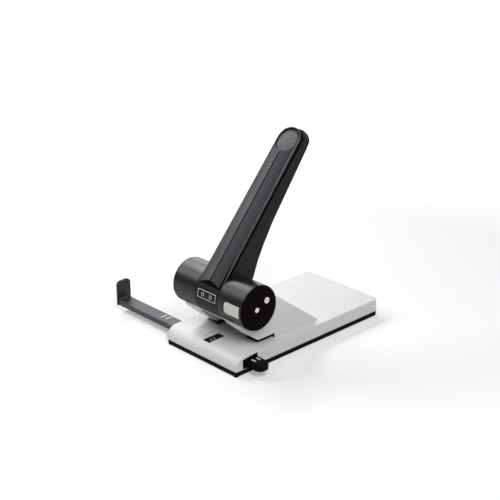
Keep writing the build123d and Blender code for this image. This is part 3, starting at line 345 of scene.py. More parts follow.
def new_piece(name: str, points: Sequence[Point], faces: Sequence[Sequence[int]]) -> bpy.types.Object:
    """Makes a mesh piece from points in millimetres.

    Args:
        name: Name of the piece.
        points: Corners in the part's frame.
        faces: Corner numbers of each face, anticlockwise seen from outside.

    Returns:
        The new object, linked to the scene.
    """
    mesh = bpy.data.meshes.new(name)
    mesh.from_pydata([[c * MM for c in p] for p in points], [], [list(f) for f in faces])
    piece = bpy.data.objects.new(name, mesh)
    bpy.context.scene.collection.objects.link(piece)
    tidy_mesh(piece)
    return piece


def tidy_mesh(piece: bpy.types.Object, flatten: float = 0.0) -> bpy.types.Object:
    """Merges doubled corners, drops loose edges and turns every face outwards.

    Args:
        piece: Mesh piece to tidy.
        flatten: Angle in degrees up to which neighbouring faces are joined to one, or 0.

    Returns:
        The same piece.
    """
    with edited(piece) as work:
        bmesh.ops.remove_doubles(work, verts=work.verts, dist=MERGE_MM * MM)
        if flatten:
            limit = math.radians(flatten)
            bmesh.ops.dissolve_limit(work, angle_limit=limit, verts=work.verts, edges=work.edges)
        bmesh.ops.delete(work, geom=[e for e in work.edges if not e.link_faces], context="EDGES")
        bmesh.ops.recalc_face_normals(work, faces=work.faces)
    return piece


def bake(piece: bpy.types.Object) -> bpy.types.Object:
    """Applies the piece's modifiers to its mesh.

    Args:
        piece: Piece with modifiers.

    Returns:
        The same piece with a plain mesh.
    """
    bpy.context.view_layer.update()
    graph = bpy.context.evaluated_depsgraph_get()
    mesh = bpy.data.meshes.new_from_object(piece.evaluated_get(graph), depsgraph=graph)
    piece.modifiers.clear()
    piece.data = mesh
    return piece


def soften(piece: bpy.types.Object, width: float) -> bpy.types.Object:
    """Rounds the sharp edges as a mould or a casting has them, and smooths the shading.

    Args:
        piece: Mesh piece.
        width: Width of the rounding in millimetres.

    Returns:
        The same piece.
    """
    piece.data.shade_smooth()
    edge = piece.modifiers.new("edges", "BEVEL")
    edge.width = width * MM
    edge.segments = EDGE_STEPS
    edge.limit_method = "ANGLE"
    edge.angle_limit = math.radians(SHARP_ANGLE)
    edge.use_clamp_overlap = True
    edge.miter_outer = "MITER_ARC"
    shading = piece.modifiers.new("shading", "WEIGHTED_NORMAL")
    shading.keep_sharp = False
    shading.weight = 70
    return bake(piece)


def round_edges(
    piece: bpy.types.Object, width: float, segments: int, chosen: Callable[[bmesh.types.BMEdge], bool]
) -> bpy.types.Object:
    """Rounds some edges of a piece.

    Args:
        piece: Mesh piece.
        width: Width of the rounding in millimetres.
        segments: Faces across the rounding.
        chosen: Tells whether an edge is rounded.

    Returns:
        The same piece.
    """
    shape = {"offset_type": "OFFSET", "segments": segments, "profile": 0.5, "affect": "EDGES"}
    with edited(piece) as work:
        edges = [edge for edge in work.edges if len(edge.link_faces) == 2 and chosen(edge)]
        log.info("%s has %d edges rounded by %.1f mm", piece.name, len(edges), width)
        bmesh.ops.bevel(work, geom=edges, offset=width * MM, **shape)
    return piece


def cut(piece: bpy.types.Object, *tools: bpy.types.Object, fuse: bool = False) -> bpy.types.Object:
    """Takes tools away from a piece, or joins them to it, and removes the tools.

    Args:
        piece: Piece to change.
        tools: Closed meshes.
        fuse: Joins the tools on instead.

    Returns:
        The same piece.
    """
    for tool in tools:
        step = piece.modifiers.new("cut", "BOOLEAN")
        step.operation = "UNION" if fuse else "DIFFERENCE"
        step.solver = "EXACT"
        step.object = tool
    bake(piece)
    for tool in tools:
        bpy.data.objects.remove(tool)
    return piece


def split(piece: bpy.types.Object, axis: int, *places: float) -> bpy.types.Object:
    """Divides the faces that cross some planes, so that their parts can differ in finish.

    Args:
        piece: Mesh piece.
        axis: Axis that the planes are square to, 0 for X and 1 for Y.
        places: Where the planes cross it, in millimetres.

    Returns:
        The same piece.
    """
    way = Vector([float(axis == i) for i in range(3)])
    with edited(piece) as work:
        for place in places:
            every = [*work.verts, *work.edges, *work.faces]
            bmesh.ops.bisect_plane(work, geom=every, dist=1e-7, plane_co=way * place * MM, plane_no=way)
    return piece


def band(first: int, second: int, count: int) -> list[Sequence[int]]:
    """Joins two rings of points by faces.

    Args:
        first: Number of the first ring's first point.
        second: Number of the second ring's first point.
        count: Points in each ring.

    Returns:
        Corner numbers of the faces.
    """
    steps = [(i, (i + 1) % count) for i in range(count)]
    return [(first + i, first + j, second + j, second + i) for i, j in steps]


def prism(
    name: str, outline: Sequence[Flat], low: float, high: float, place: Callable[[float, float, float], Point]
) -> bpy.types.Object:
    """Extrudes a closed outline.

    Args:
        name: Name of the piece.
        outline: Corners on the outline's own plane, in order.
        low: Start of the extrusion.
        high: End of the extrusion.
        place: Turns outline coordinates and a height to a point of the part's frame.

    Returns:
        The new piece.
    """
    count = len(outline)
    points = [place(u, v, w) for w in (low, high) for u, v in outline]
    ends = [tuple(range(count))[::-1], tuple(range(count, 2 * count))]
    return new_piece(name, points, [*ends, *band(0, count, count)])


def lifted(middle: Flat, u: float, v: float, w: float) -> Point:
    """Turns a place on a level outline round a middle, and a height, to a point of the part's frame."""
    return middle[0] + u, middle[1] + v, w


def lofted(name: str, rings: Sequence[Sequence[Point]]) -> bpy.types.Object:
    """Joins closed rings of equal length into a skin with closed ends.

    Args:
        name: Name of the piece.
        rings: Rings of points in order along the piece.

    Returns:
        The new piece.
    """
    count = len(rings[0])
    points = [p for ring in rings for p in ring]
    faces: list[Sequence[int]] = [tuple(range(count))[::-1]]
    for row in range(len(rings) - 1):
        faces += band(row * count, (row + 1) * count, count)
    last = (len(rings) - 1) * count
    faces.append(tuple(range(last, last + count)))
    return new_piece(name, points, faces)


def turned(name: str, profile: Sequence[Flat], steps: int) -> bpy.types.Object:
    """Spins a closed profile about the X axis.

    Args:
        name: Name of the piece.
        profile: Pairs of place along X and radius, in order round the section.
        steps: Faces round the turn.

    Returns:
        The new piece.
    """
    count = len(profile)
    points: list[Point] = []
    faces: list[Sequence[int]] = []
    for step in range(steps):
        angle = 2 * math.pi * step / steps
        points += [(x, radius * math.cos(angle), radius * math.sin(angle)) for x, radius in profile]
        faces += band(step * count, (step + 1) % steps * count, count)
    return new_piece(name, points, faces)


def copied(node: str, name: str) -> bpy.types.Object:
    """Copies a CAD node's mesh into a new piece with joined flat faces.

    Args:
        node: CAD node.
        name: Name of the new piece.

    Returns:
        The new piece.
    """
    piece = bpy.data.objects.new(name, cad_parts[node].data.copy())
    bpy.context.scene.collection.objects.link(piece)
    piece.data.materials.clear()
    return tidy_mesh(piece, FLAT_ANGLE)


def dress(piece: bpy.types.Object, finish: Finish) -> None:
    """Gives a piece one finish all over.

    Args:
        piece: Mesh piece.
        finish: Its finish.
    """
    piece.data.materials.clear()
    piece.data.materials.append(finish.material())
    piece.data.polygons.foreach_set("material_index", [0] * len(piece.data.polygons))


def blacken(
    piece: bpy.types.Object, finish: Finish, chosen: Callable[[bpy.types.MeshPolygon], bool]
) -> None:
    """Gives some faces of a dressed piece a second finish.

    Args:
        piece: Dressed piece.
        finish: Finish of the faces.
        chosen: Tells whether a face takes it.
    """
    piece.data.materials.append(finish.material())
    for face in piece.data.polygons:
        if chosen(face):
            face.material_index = 1


def mount(piece: bpy.types.Object, body: Body, finish: Finish, slot: str, *nodes: str) -> None:
    """Dresses a piece and ties it to its body.

    Args:
        piece: Finished mesh piece.
        body: Body that it rides on.
        finish: Its finish.
        slot: The record's material slot; not used.
        nodes: CAD nodes that it stands for.
    """
    dress(piece, finish)
    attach(piece, body.value)
    if nodes:
        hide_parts(*nodes)
    log.info("%s rides on %s in %s", piece.name, body.value, finish.value.name)


def rounded(node: str, name: str, width: float, body: Body, finish: Finish, slot: str) -> None:
    """Makes a piece from a CAD node, with its edges rounded, and mounts it in the node's place.

    Args:
        node: CAD node.
        name: Name of the new piece.
        width: Width of the rounding in millimetres.
        body: Body that it rides on.
        finish: Its finish.
        slot: The record's material slot.
    """
    mount(soften(copied(node, name), width), body, finish, slot, node)


def keep(finish: Finish, *nodes: str) -> None:
    """Dresses CAD nodes whose own shape stays.

    Args:
        finish: Finish of the nodes.
        nodes: Names of the nodes.
    """
    for node in nodes:
        dress(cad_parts[node], finish)
        log.info("%s keeps its CAD shape in %s", node, finish.value.name)


@dataclass(frozen=True)
class Repeat:
    """Geometry Nodes tree that sets one shape at every point of a mesh, turned as the point says."""

    name: str = "repeat_at_points"

    def tree(self) -> bpy.types.NodeTree:
        """Makes the tree with its named inputs, or returns the one made before.

        Returns:
            The node tree.
        """
        known = bpy.data.node_groups.get(self.name)
        if known:
            return known
        tree = bpy.data.node_groups.new(self.name, "GeometryNodeTree")
        for label, kind in (
            ("Places", "NodeSocketGeometry"),
            ("Shape", "NodeSocketObject"),
            ("Size", "NodeSocketFloat"),
            ("Finish", "NodeSocketMaterial"),
        ):
            tree.interface.new_socket(label, in_out="INPUT", socket_type=kind)
        tree.interface.new_socket("Pieces", in_out="OUTPUT", socket_type="NodeSocketGeometry")
        given = add_node(tree, "NodeGroupInput").outputs
        shape = add_node(tree, "GeometryNodeObjectInfo", None, {"Object": given["Shape"]})
        stored = {"data_type": "FLOAT_VECTOR", "Name": "turn"}
        turn = add_node(tree, "GeometryNodeInputNamedAttribute", stored)
        placed = add_node(
            tree,
            "GeometryNodeInstanceOnPoints",
            None,
            {
                "Points": given["Places"],
                "Instance": shape.outputs["Geometry"],
                "Rotation": turn.outputs["Attribute"],
                "Scale": given["Size"],
            },
        )
        solid = add_node(tree, "GeometryNodeRealizeInstances", None, {0: placed.outputs[0]})
        dressed = add_node(
            tree, "GeometryNodeSetMaterial", None, {0: solid.outputs[0], "Material": given["Finish"]}
        )
        add_node(tree, "NodeGroupOutput", None, {0: dressed.outputs[0]})
        return tree

    def run(
        self,
        name: str,
        shape: bpy.types.Object,
        finish: Finish,
        places: Sequence[Point],
        turns: Sequence[Point],
    ) -> bpy.types.Object:
        """Sets the shape at its places and bakes the result to one mesh.

        Args:
            name: Name of the new piece.
            shape: Piece to repeat, drawn round the origin, which is removed afterwards.
            finish: Finish of the pieces.
            places: Points in millimetres.
            turns: Euler turns in radians, one for each place.

        Returns:
            The baked piece.
        """
        mesh = bpy.data.meshes.new(name)
        mesh.from_pydata([[c * MM for c in p] for p in places], [], [])
        spin = mesh.attributes.new("turn", "FLOAT_VECTOR", "POINT")
        spin.data.foreach_set("vector", [c for t in turns for c in t])
        piece = bpy.data.objects.new(name, mesh)
        bpy.context.scene.collection.objects.link(piece)
        step = piece.modifiers.new("repeat", "NODES")
        step.node_group = self.tree()
        values = {"Shape": shape, "Size": 1.0, "Finish": finish.material()}
        for item in step.node_group.interface.items_tree:
            if item.name in values:
                step[item.identifier] = values[item.name]
        bake(piece)
        bpy.data.objects.remove(shape)
        return piece


def rounded_outline(length: float, width: float, radius: float, steps: int) -> list[Flat]:
    """Corners of a rectangle with round corners, anticlockwise round the origin.

    Args:
        length: Size along the first axis.
        width: Size along the second axis.
        radius: Corner radius.
        steps: Straight pieces in each corner.

    Returns:
        The outline's corners.
    """
    outline = []
    for turn, (side, end) in enumerate(((1, 1), (-1, 1), (-1, -1), (1, -1))):
        for step in range(steps + 1):
            angle = math.pi / 2 * (turn + step / steps)
            u = side * (length / 2 - radius) + radius * math.cos(angle)
            v = end * (width / 2 - radius) + radius * math.sin(angle)
            outline.append((u, v))
    return outline


def split_outline(outline: Sequence[Flat], steps: int = 6) -> list[Flat]:
    """Divides the straight runs of an outline, so that it can follow a curved face.

    Args:
        outline: Corners in order.
        steps: Pieces of each run.

    Returns:
        The finer outline.
    """
    fine = []
    for (u, v), (u_next, v_next) in zip(outline, [*outline[1:], outline[0]]):
        for step in range(steps):
            share = step / steps
            fine.append((u + (u_next - u) * share, v + (v_next - v) * share))
    return fine


def print_bars(name: str, body: Body, size: Flat, places: Sequence[Point]) -> None:
    """Prints plain white bars with round corners on level faces. The ink is drawn thick enough to show.

    Args:
        name: Name of the piece.
        body: Body that it rides on.
        size: Sizes of one bar along X and Y.
        places: Middles of the bars.
    """
    outline = rounded_outline(*size, min(size) * INK_CORNER, 4)
    bar = prism(f"{name}_shape", outline, -INK_RISE, INK_RISE, partial(lifted, (0.0, 0.0)))
    piece = Repeat().run(name, bar, Finish.INK, places, [(0.0, 0.0, 0.0)] * len(places))
    mount(piece, body, Finish.INK, "white_plug")


@dataclass(frozen=True)
class Base:
    """Die-cast base with its index window, and the chip tray that closes it from below."""

    coat_round: float = 0.55
    plate_top: float = 25.8
    floor_slack: float = 0.3
    # Painted shade: the plate's top under each boss, within these X and Y limits, is painted black where the
    # paper slot lies in shade.
    painted_shade_x: Flat = (27.0, 51.5)
    painted_shade_y: Flat = (-82.5, -56.0)
    tray_round: float = 0.35
    window_round: float = 0.25
    mark_size: Flat = (3.4, 1.5)
    window_place: Flat = (0.3, -114.7)
    window_size: Flat = (12.8, 27.6)
    window_corner: float = 0.5
    window_depth: Flat = (24.0, 25.9)
    mark_gap: float = 5.6
    mark_shift: Flat = (1.3, -3.6)
    corner_size: float = 6.5
    corner_round: float = 2.5

    def is_floor_shade(self, face: bpy.types.MeshPolygon) -> bool:
        """Tells whether a face is the floor of the paper slot under a boss, which is painted black as shade.

        Args:
            face: Face of the base's mesh.

        Returns:
            True for the parts of the plate's top that take painted shade.
        """
        (inner, outer), (front, back) = self.painted_shade_x, self.painted_shade_y
        x, y, z = face.center / MM
        return inner < abs(x) < outer and front < y < back and abs(z - self.plate_top) < self.floor_slack

    def casting(self) -> None:
        """Rounds the casting's edges as the coat does and paints shade black on the floor of the paper slot.
        """
        inner, outer = self.painted_shade_x
        piece = split(copied("base_casting", "base_coated"), 0, -outer, -inner, inner, outer)
        soften(split(piece, 1, *self.painted_shade_y), self.coat_round)
        mount(piece, Body.BASE, Finish.CASTING, "painted_casting", "base_casting")
        # Painted shade: the slot's floor under the bosses is made black.
        blacken(piece, Finish.PAINTED_SLOT_SHADE, self.is_floor_shade)

    def tray(self) -> None:
        """Squares the pan's front corners to the casting's and rounds its moulded edges."""
        low, high = ([c / MM for c in corner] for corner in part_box("chip_tray"))
        size = self.corner_size
        outline = rounded_outline(size, size, self.corner_round, 5)
        tools = []
        for x in (low[0] + size / 2, high[0] - size / 2):
            place = partial(lifted, (x, low[1] + size / 2))
            tools.append(prism("corner_tool", outline, low[2], high[2], place))
        piece = tidy_mesh(cut(copied("chip_tray", "tray_pan"), *tools, fuse=True), FLAT_ANGLE)
        mount(soften(piece, self.tray_round), Body.TRAY, Finish.TRAY, "tray_plastic", "chip_tray")

    def window(self) -> None:
        """Sets the black window in the plate, with its two index marks."""
        outline = rounded_outline(*self.window_size, self.window_corner, 4)
        piece = prism("index_window", outline, *self.window_depth, partial(lifted, self.window_place))
        soften(piece, self.window_round)
        mount(piece, Body.BASE, Finish.WINDOW, "black_plastic", "window_insert")
        x = self.window_place[0] + self.mark_shift[0]
        y = self.window_place[1] + self.mark_shift[1]
        rows = (y - self.mark_gap / 2, y + self.mark_gap / 2)
        print_bars("index_marks", Body.BASE, self.mark_size, [(x, row, self.window_depth[1]) for row in rows])

    def build(self) -> None:
        """Builds the base, its window and the tray."""
        self.casting()
        self.tray()
        self.window()


@dataclass(frozen=True)
class Bridge:
    """Punch bridge: casting with the sloped back, the two bosses, the arch and the paper slot."""

    coat_round: float = 0.9
    slot_roof: float = 32.5
    slot_back: float = -56.0
    slot_depth: float = 0.6
    arch_half: float = 26.0
    arch_low: float = 27.0
    arch_high: float = 61.0
    arch_round: float = 6.0
    arch_reach: Flat = (-125.0, -76.0)

    def arch(self) -> bpy.types.Object:
        """Makes the tool that opens the arch as far up as the drum.

        Returns:
            The closed tool.
        """
        height = self.arch_high - self.arch_low
        outline = rounded_outline(2 * self.arch_half, height, self.arch_round, 6)
        middle = (self.arch_high + self.arch_low) / 2
        return prism("arch_tool", outline, *self.arch_reach, lambda u, v, w: (u, w, middle + v))

    def is_slot_shade(self, face: bpy.types.MeshPolygon) -> bool:
        """Tells whether a face belongs to the paper slot under a boss, which is painted black as shade.

        Args:
            face: Face of the bridge's mesh.

        Returns:
            True for the slot's roof and its back wall beside the arch, which take painted shade.
        """
        middle = face.center / MM
        roof = abs(middle.z - self.slot_roof) < self.slot_depth and face.normal.z < -0.9
        back = abs(middle.y - self.slot_back) < self.slot_depth and face.normal.y < -0.9
        return abs(middle.x) > self.arch_half and (roof or back and middle.z < self.slot_roof)

    def casting(self) -> None:
        """Opens the arch, rounds the casting's edges and paints shade black in the slot under the bosses."""
        piece = tidy_mesh(cut(copied("punch_bridge", "bridge_coated"), self.arch()), FLAT_ANGLE)
        edge = self.arch_half + self.slot_depth
        soften(split(piece, 0, -edge, edge), self.coat_round)
        mount(piece, Body.BASE, Finish.CASTING, "painted_casting", "punch_bridge")
        # Painted shade: the slot's roof and back wall under the bosses are made black.
        blacken(piece, Finish.PAINTED_SLOT_SHADE, self.is_slot_shade)

    def build(self) -> None:
        """Builds the bridge."""
        self.casting()


@dataclass(frozen=True)
class Drum:
    """Drum round the shaft: two shells, two end discs with their plugs and pins, and the lock button."""

    axis: Flat = (-95.5, 85.6)
    end: float = 68.4
    shell_round: float = 0.5
    cap_round: float = 0.7
    button_round: float = 0.55
    plug_place: Flat = (-3.5, -1.7)
    plug_radius: float = 3.4
    pin_place: Flat = (14.2, 7.2)
    pin_radius: float = 4.2
    pin_hole: float = 1.5
    proud: float = 0.5
    seat: float = 1.9
    stud_steps: int = 48

    def shells(self) -> None:
        """Rounds the edges of the two satin shells and of the matt end discs."""
        for side in ("left", "right"):
            shell, cap = f"drum_cover_{side}", f"end_cap_{side}"
            rounded(shell, f"drum_shell_{side}", self.shell_round, Body.BASE, Finish.DRUM, "drum_plastic")
            rounded(cap, f"end_disc_{side}", self.cap_round, Body.BASE, Finish.CAP_AND_SHADE, "cap_plastic")

    def button(self) -> None:
        """Rounds the edges of the pale lock button."""
        width = self.button_round
        rounded("lock_button", "lock_key", width, Body.BUTTON, Finish.BUTTON, "grey_button")

    def studs(self, name: str, node: str, profile: Sequence[Flat], place: Flat) -> None:
        """Sets one turned stud in each end disc.

        Args:
            name: Name of the piece.
            node: CAD node that it stands for.
            profile: Section as height over the disc and radius.
            place: Y and Z from the drum's axis.
        """
        stud = turned(f"{name}_shape", profile, self.stud_steps)
        y, z = self.axis[0] + place[0], self.axis[1] + place[1]
        places = [(self.end, y, z), (-self.end, y, z)]
        piece = Repeat().run(name, stud, Finish.PLUG, places, [(0.0, 0.0, 0.0), (0.0, 0.0, math.pi)])
        mount(piece, Body.BASE, Finish.PLUG, "white_plug", node)

    def build(self) -> None:
        """Builds shells, discs, studs and button."""
        self.shells()
        plug, pin, hole = self.plug_radius, self.pin_radius, self.pin_hole
        self.studs(
            "white_plugs",
            "axle_plugs",
            [
                (-self.seat, 0.0),
                (-self.seat, plug),
                (self.proud * 0.5, plug),
                (self.proud * 0.85, plug * 0.88),
                (self.proud, plug * 0.6),
                (self.proud, 0.0),
            ],
            self.plug_place,
        )
        self.studs(
            "ring_pins",
            "cap_pins",
            [
                (-self.seat, hole),
                (-self.seat, pin - 1.0),
                (0.0, pin - 1.0),
                (0.0, pin),
                (self.proud * 0.6, pin),
                (self.proud, pin - 0.5),
                (self.proud, hole + 0.5),
                (self.proud * 0.5, hole),
            ],
            self.pin_place,
        )
        self.button()


@dataclass(frozen=True)
class Lever:
    """Lever with its hub, the ridged panel, the palm pad and the plain pictogram on the hub."""

    angle: float = 49.4
    axis: Flat = (-95.5, 85.6)
    hub_radius: float = 31.3
    panel_round: float = 0.22
    brow_round: float = 4.0
    ridge: float = 34.7
    groove_half: float = 1.3
    groove_lip: float = 0.12
    groove_depth: float = 3.0
    wall_slope: float = 0.25
    shell_round: float = 1.4
    pad_middle: Flat = (220.2, 33.32)
    pad_slope: float = 4.0
    pad_half: Flat = (17.6, 17.85)
    pad_depth: Flat = (5.6, 2.4)
    pad_dome: float = 0.8
    pad_rings: tuple[float, ...] = (0.85, 0.65, 0.45, 0.25, 0.08)
    pad_steps: int = 96
    sign_size: Flat = (34.8, 11.6)
    sign_angle: float = 10.3
    sign_line: float = 0.62
    ring_radius: float = 2.3
    sign_corner: Flat = (1.0, 0.6)
    ring_spread: float = 15.0
    ring_steps: int = 40
    ink: float = 0.07
    ink_root: float = 0.3

    def spot(self, x: float, along: float, off: float) -> Point:
        """Turns a place on the lever to the part's frame.

        Args:
            x: Place across the lever.
            along: Distance from the drum's axis along the lever.
            off: Distance in front of the drum's axis.

        Returns:
            The point in millimetres.
        """
        turn = math.radians(self.angle)
        y = self.axis[0] + along * math.cos(turn) - off * math.sin(turn)
        return x, y, self.axis[1] + along * math.sin(turn) + off * math.cos(turn)

    def local(self, point: Vector) -> Point:
        """Turns a point in metres to its place on the lever.

        Args:
            point: Point of the part's frame.

        Returns:
            Place across the lever, along it and in front of it, in millimetres.
        """
        turn = math.radians(self.angle)
        y, z = point.y / MM - self.axis[0], point.z / MM - self.axis[1]
        return point.x / MM, y * math.cos(turn) + z * math.sin(turn), z * math.cos(turn) - y * math.sin(turn)

    def front(self) -> Vector:
        """Returns the way that the lever's panel faces."""
        turn = math.radians(self.angle)
        return Vector((0.0, -math.sin(turn), math.cos(turn)))

    def is_brow(self, edge: bmesh.types.BMEdge) -> bool:
        """Tells whether an edge is the outer brow of the ridged panel.

        Args:
            edge: Edge of the panel's mesh.

        Returns:
            True for an edge between the panel's roof and its outer wall.
        """
        front = self.front()
        wall, roof = (face.normal for face in sorted(edge.link_faces, key=lambda f: f.normal.dot(front)))
        x, along, _ = self.local((edge.verts[0].co + edge.verts[1].co) / 2)
        past_pad = max(along - self.pad_middle[0], 0.0)
        away = Vector(self.spot(x, past_pad, 0.0)) - Vector(self.spot(0.0, 0.0, 0.0))
        upright = abs(wall.dot(front)) < 0.4 and wall.dot(away.normalized()) > 0.5
        return roof.dot(front) > 0.8 and upright

    def is_groove_shade(self, face: bpy.types.MeshPolygon) -> bool:
        """Tells whether a face of the panel takes painted shade in matt black.

        Args:
            face: Face of the panel's mesh.

        Returns:
            True in the groove along the ridge and on the side walls, where shade falls.
        """
        x, along, off = self.local(face.center)
        depth = self.ridge - off
        groove = abs(x) < self.groove_half and self.groove_lip < depth < self.groove_depth
        wall = abs(face.normal.dot(self.front())) < self.wall_slope and along > self.hub_radius
        return groove or wall

    def mouldings(self) -> None:
        """Rounds the shell with its hub and the ridged panel, and paints shade black into its groove and onto
        its side walls.
        """
        width = self.shell_round
        rounded("lever_shell", "lever_moulding", width, Body.LEVER, Finish.SHELL, "lever_plastic")
        panel = round_edges(copied("lever_face", "lever_panel"), self.brow_round, 6, self.is_brow)
        soften(panel, self.panel_round)
        mount(panel, Body.LEVER, Finish.LEVER, "lever_plastic", "lever_face")
        # Painted shade: the panel's groove and side walls take the matt black of the end discs.
        blacken(panel, Finish.CAP_AND_SHADE, self.is_groove_shade)

    def pad(self) -> None:
        """Makes the faintly domed pad with a rounded rim."""
        low, high = (-depth for depth in self.pad_depth)
        slope = math.radians(self.pad_slope)
        rows = [(1.0, low), (1.0, high - 0.4), (0.985, high - 0.15), (0.955, high)]
        rows += [(share, high + self.pad_dome * (1 - share * share)) for share in self.pad_rings]
        rings = []
        for share, height in rows:
            ring = []
            for step in range(self.pad_steps):
                turn = 2 * math.pi * step / self.pad_steps
                up = self.pad_half[1] * share * math.sin(turn)
                along = self.pad_middle[0] + up * math.cos(slope) + height * math.sin(slope)
                off = self.pad_middle[1] - up * math.sin(slope) + height * math.cos(slope)
                ring.append(self.spot(self.pad_half[0] * share * math.cos(turn), along, off))
            rings.append(ring)
        piece = lofted("pad_disc", rings)
        piece.data.shade_smooth()
        mount(piece, Body.LEVER, Finish.PAD, "pad_rubber", "palm_pad")

    def on_hub(self, u: float, v: float, w: float) -> Point:
        """Turns a place on the flat sign to the hub's surface.

        Args:
            u: Place along the drum.
            v: Place round the hub, up from the sign's middle.
            w: Height over the hub's surface.

        Returns:
            The point in millimetres.
        """
        turn = math.radians(self.sign_angle) + v / self.hub_radius
        radius = self.hub_radius + w
        return u, self.axis[0] - radius * math.cos(turn), self.axis[1] + radius * math.sin(turn)

    def ring(self, middle: float, radius: float) -> list[Flat]:
        """Makes a circle on the flat sign.

        Args:
            middle: Place of its middle along the drum.
            radius: Its radius.

        Returns:
            Points of the circle, anticlockwise.
        """
        turns = [2 * math.pi * step / self.ring_steps for step in range(self.ring_steps)]
        return [(middle + radius * math.cos(turn), radius * math.sin(turn)) for turn in turns]

    def sign(self) -> None:
        """Prints a plain frame with two rings, the common sign for two holes, on the hub."""
        (width, height), line = self.sign_size, self.sign_line
        outer = rounded_outline(width, height, self.sign_corner[0], 4)
        inner = rounded_outline(width - 2 * line, height - 2 * line, self.sign_corner[1], 4)
        bands = [(split_outline(outer), split_outline(inner))]
        for middle in (-self.ring_spread / 2, self.ring_spread / 2):
            rim = self.ring(middle, self.ring_radius + line / 2)
            bands.append((rim, self.ring(middle, self.ring_radius - line / 2)))
        points: list[Point] = []
        faces: list[Sequence[int]] = []
        for rim, hole in bands:
            count, first = len(rim), len(points)
            section = ((rim, -self.ink_root), (rim, self.ink), (hole, self.ink), (hole, -self.ink_root))
            for edge, rise in section:
                points += [self.on_hub(u, v, rise) for u, v in edge]
            for row in range(4):
                faces += band(first + row * count, first + (row + 1) % 4 * count, count)
        mount(new_piece("hub_sign", points, faces), Body.LEVER, Finish.INK, "white_plug")

    def build(self) -> None:
        """Builds the lever."""
        self.mouldings()
        self.pad()
        self.sign()


@dataclass(frozen=True)
class Guide:
    """Paper guide: coated rail with its stop plate on the left and the finger grip on the right."""

    rail_round: float = 0.35
    stop_round: float = 1.1
    grip_round: float = 0.7
    rail_marks: tuple[Flat, ...] = ((-112.3, -109.4), (-103.3, -108.0))
    rail_mark: Flat = (1.9, 10.5)
    grip_marks: tuple[Flat, ...] = ((77.1, -113.9), (77.5, -106.2))
    grip_mark: Flat = (8.0, 2.4)
    rail_top: float = 18.0
    grip_top: float = 19.6

    def bars(self) -> None:
        """Rounds the edges of rail, stop and grip."""
        body = Body.GUIDE
        rounded("guide_rail", "rail_channel", self.rail_round, body, Finish.RAIL, "rail_metal")
        rounded("rail_stop", "stop_plate", self.stop_round, body, Finish.LEVER, "black_plastic")
        rounded("rail_grip", "finger_grip", self.grip_round, body, Finish.BLACK, "black_plastic")

    def marks(self) -> None:
        """Prints the two ticks on the rail and the two on the grip."""
        on_rail = [(x, y, self.rail_top) for x, y in self.rail_marks]
        print_bars("rail_marks", Body.GUIDE, self.rail_mark, on_rail)
        on_grip = [(x, y, self.grip_top) for x, y in self.grip_marks]
        print_bars("grip_marks", Body.GUIDE, self.grip_mark, on_grip)

    def build(self) -> None:
        """Builds the guide and its marks."""
        self.bars()
        self.marks()


